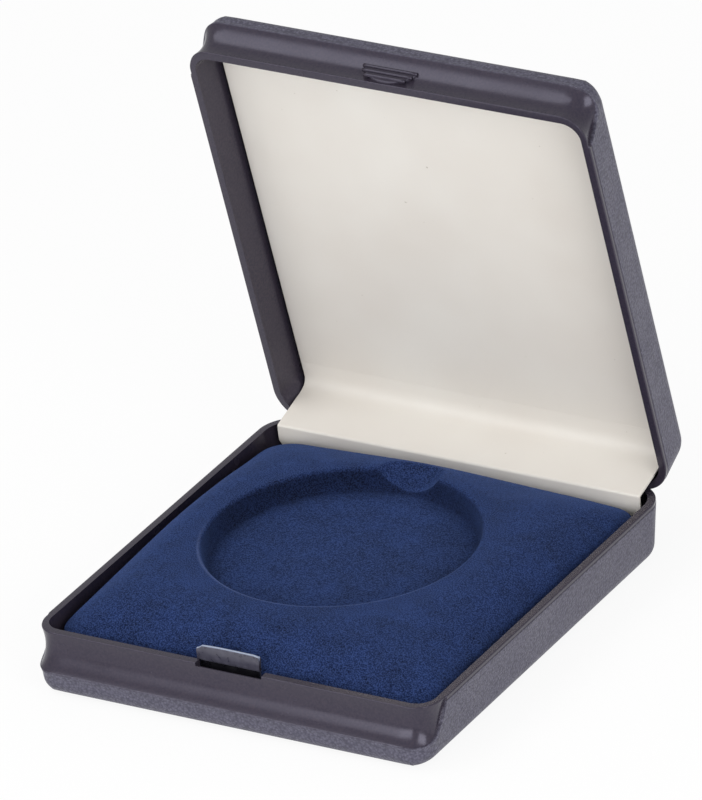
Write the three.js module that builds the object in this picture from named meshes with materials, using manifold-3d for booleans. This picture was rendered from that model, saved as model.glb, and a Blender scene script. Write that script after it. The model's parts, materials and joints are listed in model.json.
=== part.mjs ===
// Medal presentation box: two moulded shells on a sprung pin hinge, a domed pad and a snap tongue.
// Millimetres, +Z up. The origin is the centre of the base's underside and the front faces -Y.
import * as THREE from 'three';
import { mergeVertices } from 'three/addons/utils/BufferGeometryUtils.js';
import Module from 'manifold-3d';

const wasm = await Module();
wasm.setup();

// Outer case
const CASE_WIDTH = 98;
const CASE_DEPTH = 104;
const BASE_HEIGHT = 14;
const LID_HEIGHT = 12;
const WALL = 1.6;
const FLOOR = 1.8;
const FRONT_CORNER_RADIUS = 6;
const CORNER_RADIUS = 8.5;
const SIDE_DRAFT = 1.5;
const EDGE_RADIUS = 3.2;
const COVE_HOLLOW = 0.45;
const RIDGE_REACH = 2.2;
const RIDGE_SHARE = 0.61;
const RIDGE_CURVE = 2.2;
const RIM_LIP = 3;
const STEP_ANGLE = 9;
const STEP_SPREAD = 4;
const GAP = 0.3;
const OPEN_ANGLE = 76.9;
const CUT_MARGIN = 1;

// Hinge, with its axis inside the rear wall and below the rim
const HINGE_INSET = 1.2;
const HINGE_DROP = 1.4;
const HINGE_LENGTH = 60;
const PIN_RADIUS = 0.5;
const BARREL_RADIUS = 1.2;
const REAR_ROUND = 1.35;
const LEAF_THICKNESS = 0.4;
const BASE_LEAF_DROP = 8;
const LID_LEAF_DROP = 5.4;
const SPRING_ROOM = 12;
const SPRING_WIRE = 0.4;
const SPRING_TURNS = 6;
const SPRING_SPAN = 8.4;
const SPRING_LEG = 3.4;
const RIVET_RADIUS = 0.8;
const RIVET_HEAD_RADIUS = 1.5;
const RIVET_HEAD = 0.3;
const RIVET_GRIP = 0.6;
const RIVET_INNER = 12;
const RIVET_OUTER = 25;
const BASE_RIVET_DROP = 5;
const LID_RIVET_DROP = 3.2;

// Lining, pad and strip
const PANEL_DEPTH = 7.5;
const PANEL_THICKNESS = 2.2;
const PANEL_CORNER = 5;
const PANEL_REAR_ROOM = 5.6;
const STRIP_WIDTH = 90;
const STRIP_TAPER = 3.5;
const STRIP_THICKNESS = 0.4;
const STRIP_LID_ROOM = 4.4;
const STRIP_LEAN = 0.05;
const STRIP_TUCK = 1;
const STRIP_CREASE = 6.4;
const STRIP_BASE_ROOM = 4;
const STRIP_BASE_LEAN = 0.13;
const STRIP_FOOT = 9;
const RECESS_DIAMETER = 60;
const RECESS_DEPTH = 5;
const RECESS_X = -1.6;
const RECESS_Y = -0.8;
const RECESS_ROUND = 1.6;
const RECESS_LIP = 0.4;
const PAD_RISE = 5.5;
const PAD_EDGE_DROP = 3;
const PAD_CORNER = 7;
const PAD_CROWN = 3.4;
const PAD_FOOT_INSET = 1;
const PAD_SIDE_STEPS = 7;
const PAD_REAR_ROOM = 6.8;
const PAD_FRONT_ROOM = 3.7;
const PAD_SIDE_ROOM = 2.9;
const BOARD_THICKNESS = 1;
const BOARD_INSET = 1.2;
const SCOOP_WIDTH = 13.6;
const SCOOP_DEPTH = 11.2;
const SCOOP_X = 1;
const SCOOP_SET = 1.2;
const SCOOP_LIFT = 1;

// Snap tongue and thumb grip
const TONGUE_WIDTH = 15;
const TONGUE_RISE = 3.2;
const TONGUE_THICKNESS = 0.6;
const TONGUE_NOSE = 0.6;
const TONGUE_LIP = 0.7;
const TONGUE_HOOK = 2;
const TONGUE_ROOT = 8;
const NOTCH_DEPTH = 3;
const GRIP_WIDTH = 14;
const GRIP_HEIGHT = 6.4;
const GRIP_TOP = 6.8;
const GRIP_RIBS = 4;
const GRIP_RIB_HEIGHT = 0.45;
const GRIP_RIB_LEAD = 0.6;
const GRIP_FACE = 0.3;

const HALF_WIDTH = CASE_WIDTH / 2;
const HALF_DEPTH = CASE_DEPTH / 2;
const HINGE_Y = HALF_DEPTH - HINGE_INSET;
const HINGE_Z = BASE_HEIGHT - HINGE_DROP;
const LID_RIM = BASE_HEIGHT + GAP;
const ROUND_STEPS = 6;

// Materials
const shellPlastic = () => new THREE.MeshStandardMaterial({ color: 0x2b2c3c, roughness: 0.45, metalness: 0 });
const tonguePlastic = () => new THREE.MeshStandardMaterial({ color: 0x4a4f63, roughness: 0.35, metalness: 0 });
const creamCard = () => new THREE.MeshStandardMaterial({ color: 0xddd8cf, roughness: 0.6, metalness: 0 });
const greyCard = () => new THREE.MeshStandardMaterial({ color: 0x8c8a84, roughness: 0.9, metalness: 0 });
const blueVelvet = () => new THREE.MeshStandardMaterial({ color: 0x2a3f7a, roughness: 0.95, metalness: 0 });
const steel = () => new THREE.MeshStandardMaterial({ color: 0x9a9ca0, roughness: 0.35, metalness: 1 });

const point = (x, y) => new THREE.Vector2(x, y);

// A solid for cutting and joining, from any closed geometry.
function solid(geometry) {
  const bare = geometry.clone();
  for (const name of ['normal', 'uv']) bare.deleteAttribute(name);
  const merged = mergeVertices(bare, 1e-4);
  const vertProperties = new Float32Array(merged.attributes.position.array);
  const triVerts = new Uint32Array(merged.index.array);
  return new wasm.Manifold(new wasm.Mesh({ numProp: 3, vertProperties, triVerts }));
}

function geometryOf(body) {
  const mesh = body.getMesh();
  const geometry = new THREE.BufferGeometry();
  geometry.setAttribute('position', new THREE.BufferAttribute(new Float32Array(mesh.vertProperties), 3));
  geometry.setIndex(new THREE.BufferAttribute(new Uint32Array(mesh.triVerts), 1));
  geometry.computeVertexNormals();
  return geometry;
}

const block = (low, high) => new THREE.BoxGeometry(high[0] - low[0], high[1] - low[1], high[2] - low[2])
  .translate((low[0] + high[0]) / 2, (low[1] + high[1]) / 2, (low[2] + high[2]) / 2);

const rodAlongX = (radius, length, x, y, z) => new THREE.CylinderGeometry(radius, radius, length, 20)
  .rotateZ(Math.PI / 2).translate(x, y, z);

// A profile drawn in Y and Z, extruded along X and centred on it.
function alongX(outline, width) {
  const shape = new THREE.Shape(outline.map(([y, z]) => point(y, z)));
  return new THREE.ExtrudeGeometry(shape, { depth: width, bevelEnabled: false, curveSegments: 6 })
    .rotateY(Math.PI / 2).rotateX(Math.PI / 2).translate(-width / 2, 0, 0);
}

// A band of even thickness along a line of [y, z] points, as a closed outline.
function band(line, thickness) {
  const left = [];
  const right = [];
  line.forEach(([y, z], i) => {
    const [y0, z0] = line[Math.max(i - 1, 0)];
    const [y1, z1] = line[Math.min(i + 1, line.length - 1)];
    const length = Math.hypot(y1 - y0, z1 - z0);
    const ny = -(z1 - z0) / length * thickness / 2;
    const nz = (y1 - y0) / length * thickness / 2;
    left.push([y + ny, z + nz]);
    right.unshift([y - ny, z - nz]);
  });
  return [...left, ...right];
}

// Stations round a rounded rectangle: place, outward normal and whether the front hollow passes there.
function stations(halfWidth, low, high, frontRadius, rearRadius, sideSteps = 1) {
  const places = [];
  const corners = [
    [1, low + frontRadius, -90, frontRadius], [1, high - rearRadius, 0, rearRadius],
    [-1, high - rearRadius, 90, rearRadius], [-1, low + frontRadius, 180, frontRadius],
  ];
  const stepTurn = 90 - STEP_ANGLE;
  const turns = [0, 15, 30, 45, 60, stepTurn - STEP_SPREAD, stepTurn, 90];
  corners.forEach(([side, y, start, radius], corner) => {
    const angles = corner === 3 ? turns.map((turn) => 90 - turn).reverse() : turns;
    for (const turn of angles) {
      const angle = THREE.MathUtils.degToRad(start + turn);
      const normal = point(Math.cos(angle), Math.sin(angle));
      const front = (corner === 0 && turn < 90) || (corner === 3 && turn > 0);
      const x = side * (halfWidth - radius) + normal.x * radius;
      places.push({ x, y: y + normal.y * radius, normal, front });
    }
  });
  return sideSteps === 1 ? places : withSideSteps(places, sideSteps);
}

function withSideSteps(places, steps) {
  const full = [];
  places.forEach((here, i) => {
    full.push(here);
    const next = places[(i + 1) % places.length];
    if (Math.hypot(next.x - here.x, next.y - here.y) < CASE_WIDTH / 4) return;
    for (let k = 1; k < steps; k += 1) {
      const t = k / steps;
      const x = here.x + (next.x - here.x) * t;
      full.push({ ...here, x, y: here.y + (next.y - here.y) * t });
    }
  });
  return full;
}

// Closed skin over columns of [x, y, z] points, one column for each station.
function skin(columns) {
  const rows = columns[0].length;
  const count = columns.length;
  const position = columns.flat(2);
  const index = [];
  const at = (column, row) => (column % count) * rows + row;
  for (let c = 0; c < count; c += 1) {
    for (let r = 0; r < rows - 1; r += 1) {
      index.push(at(c, r), at(c + 1, r + 1), at(c, r + 1), at(c, r), at(c + 1, r), at(c + 1, r + 1));
    }
  }
  for (let c = 1; c < count - 1; c += 1) {
    index.push(at(0, 0), at(c + 1, 0), at(c, 0));
    index.push(at(0, rows - 1), at(c, rows - 1), at(c + 1, rows - 1));
  }
  const geometry = new THREE.BufferGeometry();
  geometry.setAttribute('position', new THREE.Float32BufferAttribute(position, 3));
  geometry.setIndex(index);
  return geometry;
}

function arc(centreX, centreY, radius, from, to) {
  const curve = new THREE.EllipseCurve(centreX, centreY, radius, radius, from, to, to < from);
  return curve.getPoints(ROUND_STEPS);
}

// Depths below the rim at which a shell's outer wall is drawn: down the hollow, then round the edge.
function wallDepths(height) {
  const depths = [];
  for (let i = 0; i <= ROUND_STEPS; i += 1) depths.push(height * RIDGE_SHARE * i / ROUND_STEPS);
  return [...depths, ...arc(0, height - EDGE_RADIUS, EDGE_RADIUS, 0, Math.PI / 2).map(({ y }) => y)];
}

const leanAt = (depth, height) => SIDE_DRAFT * depth / height;

// The front keeps a ridge that stands past the rim, with a hollow between them that ends on the sides.
function outerPoint(place, depth, height) {
  const part = Math.min(1, depth / (height * RIDGE_SHARE));
  const below = Math.max(0, depth - (height - EDGE_RADIUS));
  const edge = EDGE_RADIUS - Math.sqrt(Math.max(0, EDGE_RADIUS ** 2 - below ** 2));
  const lean = leanAt(depth, height);
  const hollow = place.front ? COVE_HOLLOW * Math.sin(Math.PI * part) : 0;
  const ridge = place.front ? RIDGE_REACH * part ** RIDGE_CURVE : 0;
  const x = place.x - place.normal.x * (hollow + edge + lean);
  const back = place.front ? 0 : lean;
  return [x, place.y - place.normal.y * (hollow + edge + back) - ridge, height - depth];
}

function innerPoint(place, depth, height) {
  const round = EDGE_RADIUS - WALL;
  const below = Math.max(0, depth - (height - FLOOR - round));
  const edge = round - Math.sqrt(Math.max(0, round ** 2 - below ** 2));
  const lean = leanAt(depth, height);
  const across = place.front ? COVE_HOLLOW * Math.min(1, depth / RIM_LIP) : lean;
  return [place.x - place.normal.x * (lean + edge), place.y - place.normal.y * (across + edge), height - depth];
}

// One moulded shell with its rim up, open at the top.
function shell(height) {
  const outline = (inset) => stations(
    HALF_WIDTH - inset, inset - HALF_DEPTH, HALF_DEPTH - inset, FRONT_CORNER_RADIUS - inset, CORNER_RADIUS - inset,
  );
  const outer = outline(0);
  const inner = outline(WALL);
  const floor = height - FLOOR;
  const round = EDGE_RADIUS - WALL;
  const innerDepths = [0, RIM_LIP, ...arc(0, floor - round, round, 0, Math.PI / 2).map(({ y }) => y)];
  return skin(outer.map((place, i) => {
    const outside = wallDepths(height).map((depth) => outerPoint(place, depth, height)).reverse();
    return [...outside, ...innerDepths.map((depth) => innerPoint(inner[i], depth, height))];
  }));
}

// The same solid turned upside down, with its faces still pointing out.
const flipped = (body) => body.mirror([0, 0, 1]);

// The slot in the base's rear wall that the barrel turns in.
function hingeSlot() {
  const half = HINGE_LENGTH / 2 + GAP;
  const bottom = HINGE_Z - BARREL_RADIUS - GAP;
  return solid(block([-half, HINGE_Y - 2 * WALL, bottom], [half, HALF_DEPTH + CUT_MARGIN, LID_RIM]));
}

// What the base's rear rim loses, so that the lid's rim can swing round it.
function rearRounding() {
  const edge = solid(block([-CASE_WIDTH, HINGE_Y, HINGE_Z], [CASE_WIDTH, HALF_DEPTH + CUT_MARGIN, LID_RIM]));
  const round = new THREE.CylinderGeometry(REAR_ROUND, REAR_ROUND, 3 * CASE_WIDTH, 48);
  return edge.subtract(solid(round.rotateZ(Math.PI / 2).translate(0, HINGE_Y, HINGE_Z)));
}

const rivetXs = [-RIVET_OUTER, -RIVET_INNER, RIVET_INNER, RIVET_OUTER];

// A blind hole in a shell's rear wall, drawn from the rear face and the rim.
function rivetHole(x, drop, height) {
  return solid(new THREE.CylinderGeometry(RIVET_RADIUS + GAP, RIVET_RADIUS + GAP, 2 * (RIVET_GRIP + GAP), 16)
    .translate(x, -WALL - leanAt(drop, height), -drop));
}

function baseShell() {
  let body = solid(shell(BASE_HEIGHT));
  body = body.subtract(hingeSlot()).subtract(rearRounding());
  for (const x of rivetXs) {
    body = body.subtract(rivetHole(x, BASE_RIVET_DROP, BASE_HEIGHT).translate([0, HALF_DEPTH, BASE_HEIGHT]));
  }
  const half = TONGUE_WIDTH / 2 + 2 * GAP;
  const low = [-half, -HALF_DEPTH - 2 * WALL, BASE_HEIGHT - NOTCH_DEPTH];
  const high = [half, -HALF_DEPTH + 2 * WALL, BASE_HEIGHT + CUT_MARGIN];
  return body.subtract(solid(block(low, high)));
}

// Half-round grip, drawn in X and Z with its straight edge up, and ribs along X.
function gripOutline() {
  const outline = new THREE.Shape();
  outline.moveTo(-GRIP_WIDTH / 2, 0);
  outline.absellipse(0, 0, GRIP_WIDTH / 2, GRIP_HEIGHT, Math.PI, 2 * Math.PI, false, 0);
  outline.closePath();
  return outline;
}

function gripBlock(reach) {
  const depth = reach + WALL;
  return solid(new THREE.ExtrudeGeometry(gripOutline(), { depth, bevelEnabled: false, curveSegments: 10 })
    .rotateX(Math.PI / 2).translate(0, -HALF_DEPTH + WALL, 0));
}

// The lid below is in its closed place with the rim plane at zero, the case above it.
function thumbGrip() {
  let ribs = null;
  for (let i = 0; i < GRIP_RIBS; i += 1) {
    const z = -GRIP_HEIGHT * (i + GRIP_RIB_LEAD) / (GRIP_RIBS + 1 - GRIP_RIB_LEAD);
    const rib = solid(rodAlongX(GRIP_RIB_HEIGHT, GRIP_WIDTH, 0, -HALF_DEPTH - GRIP_FACE, z));
    ribs = ribs ? ribs.add(rib) : rib;
  }
  const ribbed = ribs.intersect(gripBlock(GRIP_FACE + GRIP_RIB_HEIGHT));
  return gripBlock(GRIP_FACE).add(ribbed).translate([0, 0, GRIP_TOP]);
}

function lidShell() {
  let body = flipped(solid(shell(LID_HEIGHT))).translate([0, 0, LID_HEIGHT]);
  body = body.add(thumbGrip().subtract(lidHollow()));
  for (const x of rivetXs) {
    const hole = flipped(rivetHole(x, LID_RIVET_DROP, LID_HEIGHT));
    body = body.subtract(hole.translate([0, HALF_DEPTH, 0]));
  }
  return body;
}

// The part of the lid's inside that the grip must not fill.
const lidHollow = () => solid(block(
  [-GRIP_WIDTH, -HALF_DEPTH + WALL + COVE_HOLLOW / 2, -1], [GRIP_WIDTH, 0, LID_HEIGHT],
));

// Knuckle places along X: base, lid, room for the spring, lid, base.
const knuckle = (HINGE_LENGTH - SPRING_ROOM) / 4;
const baseKnuckles = [-1, 1].map((side) => side * (HINGE_LENGTH - knuckle) / 2);
const lidKnuckles = [-1, 1].map((side) => side * (SPRING_ROOM + knuckle) / 2);

// A leaf about the hinge axis: knuckles, and a leg down the inner face of its shell's rear wall.
// The rim's place is how far above the axis the shell's rim lies, with the leg drawn below.
function leaf(knuckles, drop, height, rim) {
  const legY = (depth) => HINGE_INSET - WALL - leanAt(Math.max(0, depth), height) - GAP - LEAF_THICKNESS / 2;
  const top = -BARREL_RADIUS - GAP;
  const leg = band([[legY(rim - top), top], [legY(drop), rim - drop]], LEAF_THICKNESS);
  let body = solid(alongX(leg, HINGE_LENGTH));
  const length = knuckle - GAP;
  for (const x of knuckles) {
    const root = alongX(band([[legY(rim), 0], [legY(rim - top), top - LEAF_THICKNESS]], LEAF_THICKNESS), length);
    body = body.add(solid(rodAlongX(BARREL_RADIUS, length, x, 0, 0))).add(solid(root.translate(x, 0, 0)));
  }
  const window = SPRING_ROOM / 2 + GAP;
  body = body.subtract(solid(block([-window, -2 * WALL, -SPRING_LEG - GAP], [window, 2 * WALL, 0])));
  return body.subtract(solid(rodAlongX(PIN_RADIUS + GAP, HINGE_LENGTH + CUT_MARGIN, 0, 0, 0)));
}

function holedLeaf(knuckles, drop, height, rim, rivetDrop) {
  let body = leaf(knuckles, drop, height, rim);
  for (const x of rivetXs) {
    const hole = new THREE.CylinderGeometry(RIVET_RADIUS + GAP, RIVET_RADIUS + GAP, 6 * WALL, 16)
      .translate(x, -WALL, rim - rivetDrop);
    body = body.subtract(solid(hole));
  }
  return body;
}

// A rivet with its shank in the wall and its head on the leaf, turned to the wall's lean.
function rivet(drop, height) {
  const back = RIVET_GRIP;
  const seat = -GAP - LEAF_THICKNESS - GAP;
  const profile = [
    point(0, back), point(RIVET_RADIUS, back), point(RIVET_RADIUS, seat), point(RIVET_HEAD_RADIUS, seat),
    point(RIVET_HEAD_RADIUS * 0.8, seat - RIVET_HEAD), point(0, seat - RIVET_HEAD),
  ].reverse();
  const lean = Math.atan2(SIDE_DRAFT, height);
  return new THREE.LatheGeometry(profile, 16).rotateX(-lean).translate(0, -WALL - leanAt(drop, height), -drop);
}

const pin = () => new THREE.LatheGeometry([
  point(0, -HINGE_LENGTH / 2), point(PIN_RADIUS, -HINGE_LENGTH / 2),
  point(PIN_RADIUS, HINGE_LENGTH / 2), point(0, HINGE_LENGTH / 2),
], 16).rotateZ(Math.PI / 2);

// The coil on the pin: a leg down the base leaf's window, the turns, and a leg up the lid leaf's window.
class SpringPath extends THREE.Curve {
  getPoint(t, target = new THREE.Vector3()) {
    const radius = PIN_RADIUS + GAP + SPRING_WIRE / 2;
    const sweep = 2 * Math.PI * SPRING_TURNS + THREE.MathUtils.degToRad(OPEN_ANGLE);
    const along = t * (sweep * radius + 2 * SPRING_LEG) - SPRING_LEG;
    const turn = THREE.MathUtils.clamp(along / radius, 0, sweep);
    const angle = Math.PI - turn;
    const over = along - turn * radius;
    const x = (turn / sweep - 0.5) * SPRING_SPAN;
    const y = radius * Math.cos(angle) + Math.sin(angle) * over;
    return target.set(x, y, radius * Math.sin(angle) - Math.cos(angle) * over);
  }
}

function torsionSpring() {
  const round = new THREE.EllipseCurve(0, 0, SPRING_WIRE / 2, SPRING_WIRE / 2);
  const section = new THREE.Shape(round.getPoints(ROUND_STEPS).slice(0, ROUND_STEPS));
  const steps = SPRING_TURNS * 10 + ROUND_STEPS;
  return new THREE.ExtrudeGeometry(section, { steps, extrudePath: new SpringPath(), bevelEnabled: false });
}

// A place in the lid, given shut as the distance in from the rear face and the height over the lid's rim.
function lidPlace(along, above) {
  const open = THREE.MathUtils.degToRad(OPEN_ANGLE);
  const y = HINGE_INSET - along;
  const z = LID_RIM - HINGE_Z + above;
  return [HINGE_Y + y * Math.cos(open) + z * Math.sin(open), HINGE_Z - y * Math.sin(open) + z * Math.cos(open)];
}

// The bent strip from below the panel's edge, over the hinge and down behind the pad.
// Its ends are narrower than its crease, to clear the rounded corners of both shells.
function hingeCover() {
  const narrow = STRIP_WIDTH / 2 - STRIP_TAPER;
  const wide = STRIP_WIDTH / 2;
  const inLid = (above, half) => [...lidPlace(STRIP_LID_ROOM + STRIP_LEAN * (above + STRIP_CREASE), above), half];
  const inBase = (drop, half) => {
    const room = WALL + STRIP_BASE_ROOM - STRIP_BASE_LEAN * drop;
    return [HALF_DEPTH - room, BASE_HEIGHT - drop, half];
  };
  const line = [
    inLid(PANEL_DEPTH + STRIP_TUCK, narrow), inLid(PANEL_DEPTH / 3, narrow), inLid(-STRIP_CREASE / 3, wide),
    inLid(-STRIP_CREASE, wide), inBase(STRIP_TUCK, wide), inBase(STRIP_FOOT / 2, narrow), inBase(STRIP_FOOT, narrow),
  ];
  const geometry = alongX(band(line, STRIP_THICKNESS), STRIP_WIDTH);
  const place = geometry.attributes.position;
  for (let i = 0; i < place.count; i += 1) {
    const away = ([y, z]) => Math.hypot(place.getY(i) - y, place.getZ(i) - z);
    const nearest = line.reduce((best, here) => (away(here) < away(best) ? here : best));
    place.setX(i, Math.sign(place.getX(i)) * nearest[2]);
  }
  return geometry;
}

const roundedPlate = (halfWidth, low, high, radius, thickness) => {
  const outline = stations(halfWidth, low, high, radius, radius);
  return skin(outline.map(({ x, y }) => [[x, y, 0], [x, y, thickness]]));
};

function lidPanel() {
  const side = HALF_WIDTH - WALL - leanAt(PANEL_DEPTH + PANEL_THICKNESS, LID_HEIGHT) - 2 * GAP;
  const front = WALL + COVE_HOLLOW + 2 * GAP - HALF_DEPTH;
  return roundedPlate(side, front, HALF_DEPTH - PANEL_REAR_ROOM, PANEL_CORNER, PANEL_THICKNESS);
}

const padLow = FLOOR + GAP + BOARD_THICKNESS + GAP;

const padOutline = (inset) => stations(
  HALF_WIDTH - PAD_SIDE_ROOM - inset, PAD_FRONT_ROOM - HALF_DEPTH + inset, HALF_DEPTH - PAD_REAR_ROOM - inset,
  PAD_CORNER - inset / 2, PAD_CORNER - inset / 2, PAD_SIDE_STEPS,
);

function padBoard() {
  const side = HALF_WIDTH - PAD_SIDE_ROOM - BOARD_INSET;
  const front = PAD_FRONT_ROOM - HALF_DEPTH + BOARD_INSET;
  const rear = HALF_DEPTH - PAD_REAR_ROOM - BOARD_INSET;
  return roundedPlate(side, front, rear, PAD_CORNER - BOARD_INSET, BOARD_THICKNESS);
}

// The domed pad: sides drawn in at the foot, a crown up to the recess's soft rim, and a flat recess floor.
function padCushion() {
  const rim = BASE_HEIGHT + PAD_RISE;
  const edge = BASE_HEIGHT - PAD_EDGE_DROP;
  const radius = RECESS_DIAMETER / 2;
  const foot = padOutline(PAD_FOOT_INSET);
  const bulge = padOutline(0);
  const columns = bulge.map((place, i) => {
    const angle = Math.atan2(place.y - RECESS_Y, place.x - RECESS_X);
    const round = (r, z) => [RECESS_X + r * Math.cos(angle), RECESS_Y + r * Math.sin(angle), z];
    const start = round(radius + RECESS_ROUND, rim);
    const crown = (t) => {
      const z = edge + (rim - edge) * (1 - t ** PAD_CROWN);
      return [start[0] + (place.x - start[0]) * t, start[1] + (place.y - start[1]) * t, z];
    };
    return [
      [foot[i].x, foot[i].y, padLow], [place.x, place.y, (padLow + edge) / 2], [place.x, place.y, edge],
      crown(0.9), crown(0.75), crown(0.5), crown(0.25), start, round(radius + RECESS_LIP, rim - RECESS_LIP),
      round(radius, rim - RECESS_ROUND), round(radius - RECESS_LIP, rim - RECESS_DEPTH),
    ];
  });
  const scoop = new THREE.SphereGeometry(1, 20, 14)
    .scale(SCOOP_WIDTH / 2, SCOOP_DEPTH / 2, SCOOP_DEPTH / 2)
    .translate(RECESS_X + SCOOP_X, RECESS_Y + radius - SCOOP_SET, rim + SCOOP_LIFT);
  return solid(skin(columns)).subtract(solid(scoop));
}

// The tongue stands behind the front wall. Its neck is set back, so that its nose clears the shut lid.
function catchTongue() {
  const back = -HALF_DEPTH + WALL + COVE_HOLLOW + GAP;
  const top = BASE_HEIGHT + TONGUE_RISE;
  const low = BASE_HEIGHT - TONGUE_ROOT;
  const inner = back + TONGUE_THICKNESS;
  const neck = BASE_HEIGHT - NOTCH_DEPTH;
  const outline = [
    [back, top], [back, top - TONGUE_LIP], [back + TONGUE_NOSE, top - TONGUE_HOOK], [back + TONGUE_NOSE, neck],
    [back, neck], [back, low], [inner, low], [inner, neck - TONGUE_LIP], [inner + TONGUE_NOSE, neck],
    [inner + TONGUE_NOSE, top - GAP], [inner + TONGUE_NOSE - GAP, top],
  ];
  return alongX(outline, TONGUE_WIDTH);
}

const box = new THREE.Group();
const lid = new THREE.Group();
lid.position.set(0, HINGE_Y, HINGE_Z);
lid.rotation.x = -THREE.MathUtils.degToRad(OPEN_ANGLE);
box.add(lid);

function put(group, name, shape, material, x = 0, y = 0, z = 0) {
  const geometry = shape.isBufferGeometry ? shape : geometryOf(shape);
  const mesh = new THREE.Mesh(geometry, material);
  mesh.name = name;
  mesh.position.set(x, y, z);
  group.add(mesh);
}

put(box, 'base_shell', baseShell(), shellPlastic());
put(box, 'catch_tongue', catchTongue(), tonguePlastic());
put(box, 'pad_board', padBoard(), greyCard(), 0, 0, FLOOR + GAP);
put(box, 'pad_cushion', padCushion(), blueVelvet());
put(box, 'hinge_leaf_base', holedLeaf(baseKnuckles, BASE_LEAF_DROP, BASE_HEIGHT, HINGE_DROP, BASE_RIVET_DROP),
  steel(), 0, HINGE_Y, HINGE_Z);
put(box, 'hinge_pin', pin(), steel(), 0, HINGE_Y, HINGE_Z);
put(box, 'torsion_spring', torsionSpring(), steel(), 0, HINGE_Y, HINGE_Z);
put(box, 'hinge_cover', hingeCover(), creamCard());

// The lid's pieces are drawn shut, from the middle of the case and the lid's rim.
const lidRim = LID_RIM - HINGE_Z;
put(lid, 'lid_shell', lidShell(), shellPlastic(), 0, -HINGE_Y, lidRim);
put(lid, 'lid_panel', lidPanel(), creamCard(), 0, -HINGE_Y, lidRim + PANEL_DEPTH);
put(lid, 'hinge_leaf_lid', flipped(holedLeaf(lidKnuckles, LID_LEAF_DROP, LID_HEIGHT, -lidRim, LID_RIVET_DROP)), steel());

rivetXs.forEach((x, i) => {
  put(box, `base_rivet_${i + 1}`, solid(rivet(BASE_RIVET_DROP, BASE_HEIGHT)), steel(), x, HALF_DEPTH, BASE_HEIGHT);
  put(lid, `lid_rivet_${i + 1}`, flipped(solid(rivet(LID_RIVET_DROP, LID_HEIGHT))), steel(), x, HINGE_INSET, lidRim);
});

export default box;
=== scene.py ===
# %% [markdown]
# A medal presentation box, standing open. Two moulded plastic shells swing on a hidden hinge, a
# velvet pad in the base holds the medal, and cream board lines the lid. The construction is packed
# already: every place, size and joint comes from it. Its own meshes could be dressed as they are, but
# they are coarse for a close picture, so each visible piece is drawn again, finer, at the same place.

import json
import math

import bmesh
import bpy
import numpy as np
from mathutils import Matrix, Vector


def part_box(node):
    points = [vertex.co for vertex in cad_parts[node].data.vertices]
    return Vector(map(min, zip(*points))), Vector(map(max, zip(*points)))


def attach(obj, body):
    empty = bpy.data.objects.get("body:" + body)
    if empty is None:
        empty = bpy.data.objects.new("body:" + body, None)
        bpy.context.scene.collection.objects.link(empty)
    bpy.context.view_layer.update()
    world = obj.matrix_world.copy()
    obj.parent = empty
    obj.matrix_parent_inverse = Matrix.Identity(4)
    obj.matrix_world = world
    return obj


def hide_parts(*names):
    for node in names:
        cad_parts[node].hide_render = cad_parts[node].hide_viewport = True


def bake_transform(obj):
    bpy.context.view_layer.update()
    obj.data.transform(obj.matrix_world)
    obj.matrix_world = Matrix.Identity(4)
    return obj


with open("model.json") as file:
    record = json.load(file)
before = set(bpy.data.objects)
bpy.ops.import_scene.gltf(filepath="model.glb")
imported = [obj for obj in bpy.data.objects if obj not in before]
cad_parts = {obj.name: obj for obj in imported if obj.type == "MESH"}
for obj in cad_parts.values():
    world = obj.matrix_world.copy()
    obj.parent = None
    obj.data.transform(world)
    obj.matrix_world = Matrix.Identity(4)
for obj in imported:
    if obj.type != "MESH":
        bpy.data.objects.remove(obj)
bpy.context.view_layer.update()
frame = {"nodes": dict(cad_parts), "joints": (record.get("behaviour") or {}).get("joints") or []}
MM = 0.001
TINY = 1e-9

hinge = frame["joints"][0]
HINGE = Vector(hinge["pos_m"])
OPEN = math.radians(hinge["range_deg"][1])
print("hinge at", [round(v / MM, 2) for v in HINGE], "mm, open", round(math.degrees(OPEN), 1), "degrees")

# %% [markdown]
# The two shells share one outline seen from above: a rounded square whose front corners are tighter
# than its rear ones. Their front isn't flat: the rim is set back, and a smooth hollow is scooped out
# between the rim and a ridge lower down. Width and height are read from the construction, so that they
# can't drift away from it, and the finer forms are named here, in metres.

# %% Sizes of the case
HALF_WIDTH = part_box("base_shell")[1].x
BASE_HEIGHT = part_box("base_shell")[1].z
HALF_DEPTH = 52 * MM
LID_HEIGHT = 12 * MM
SHELL_GAP = 0.3 * MM
WALL = 1.6 * MM
FLOOR = 1.8 * MM
FRONT_RADIUS = 6 * MM
REAR_RADIUS = 8.5 * MM
EDGE_RADIUS = 3.2 * MM
RIM_ROUND = 0.3 * MM
SIDE_DRAFT = 1.5 * MM
RIDGE_REACH = 2.2 * MM
RIDGE_SHARE = 0.61
print("case", round(2 * HALF_WIDTH / MM, 1), "mm wide, base", round(BASE_HEIGHT / MM, 1), "mm high")

# %% [markdown]
# Nearly every piece here is a stack of rings: each ring has one point for each station round the form,
# and faces join neighbouring rings. A boolean of simple solids could make the same form, but it leaves
# long thin faces that shade badly. Rings give clean four-sided faces that follow the form. The helper
# closes both ends, merges points that coincide and marks the sharp edges. Each point can carry a mark,
# a number that a finish reads later.

# %% Rings to mesh
SHARP = math.radians(38)
MERGE = 0.004 * MM
MARK = "point_mark"


def smooth_step(value):
    value = np.clip(value, 0, 1)
    return value * value * (3 - 2 * value)


def link_object(name, data):
    piece = bpy.data.objects.new(name, data)
    bpy.context.scene.collection.objects.link(piece)
    return piece


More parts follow.
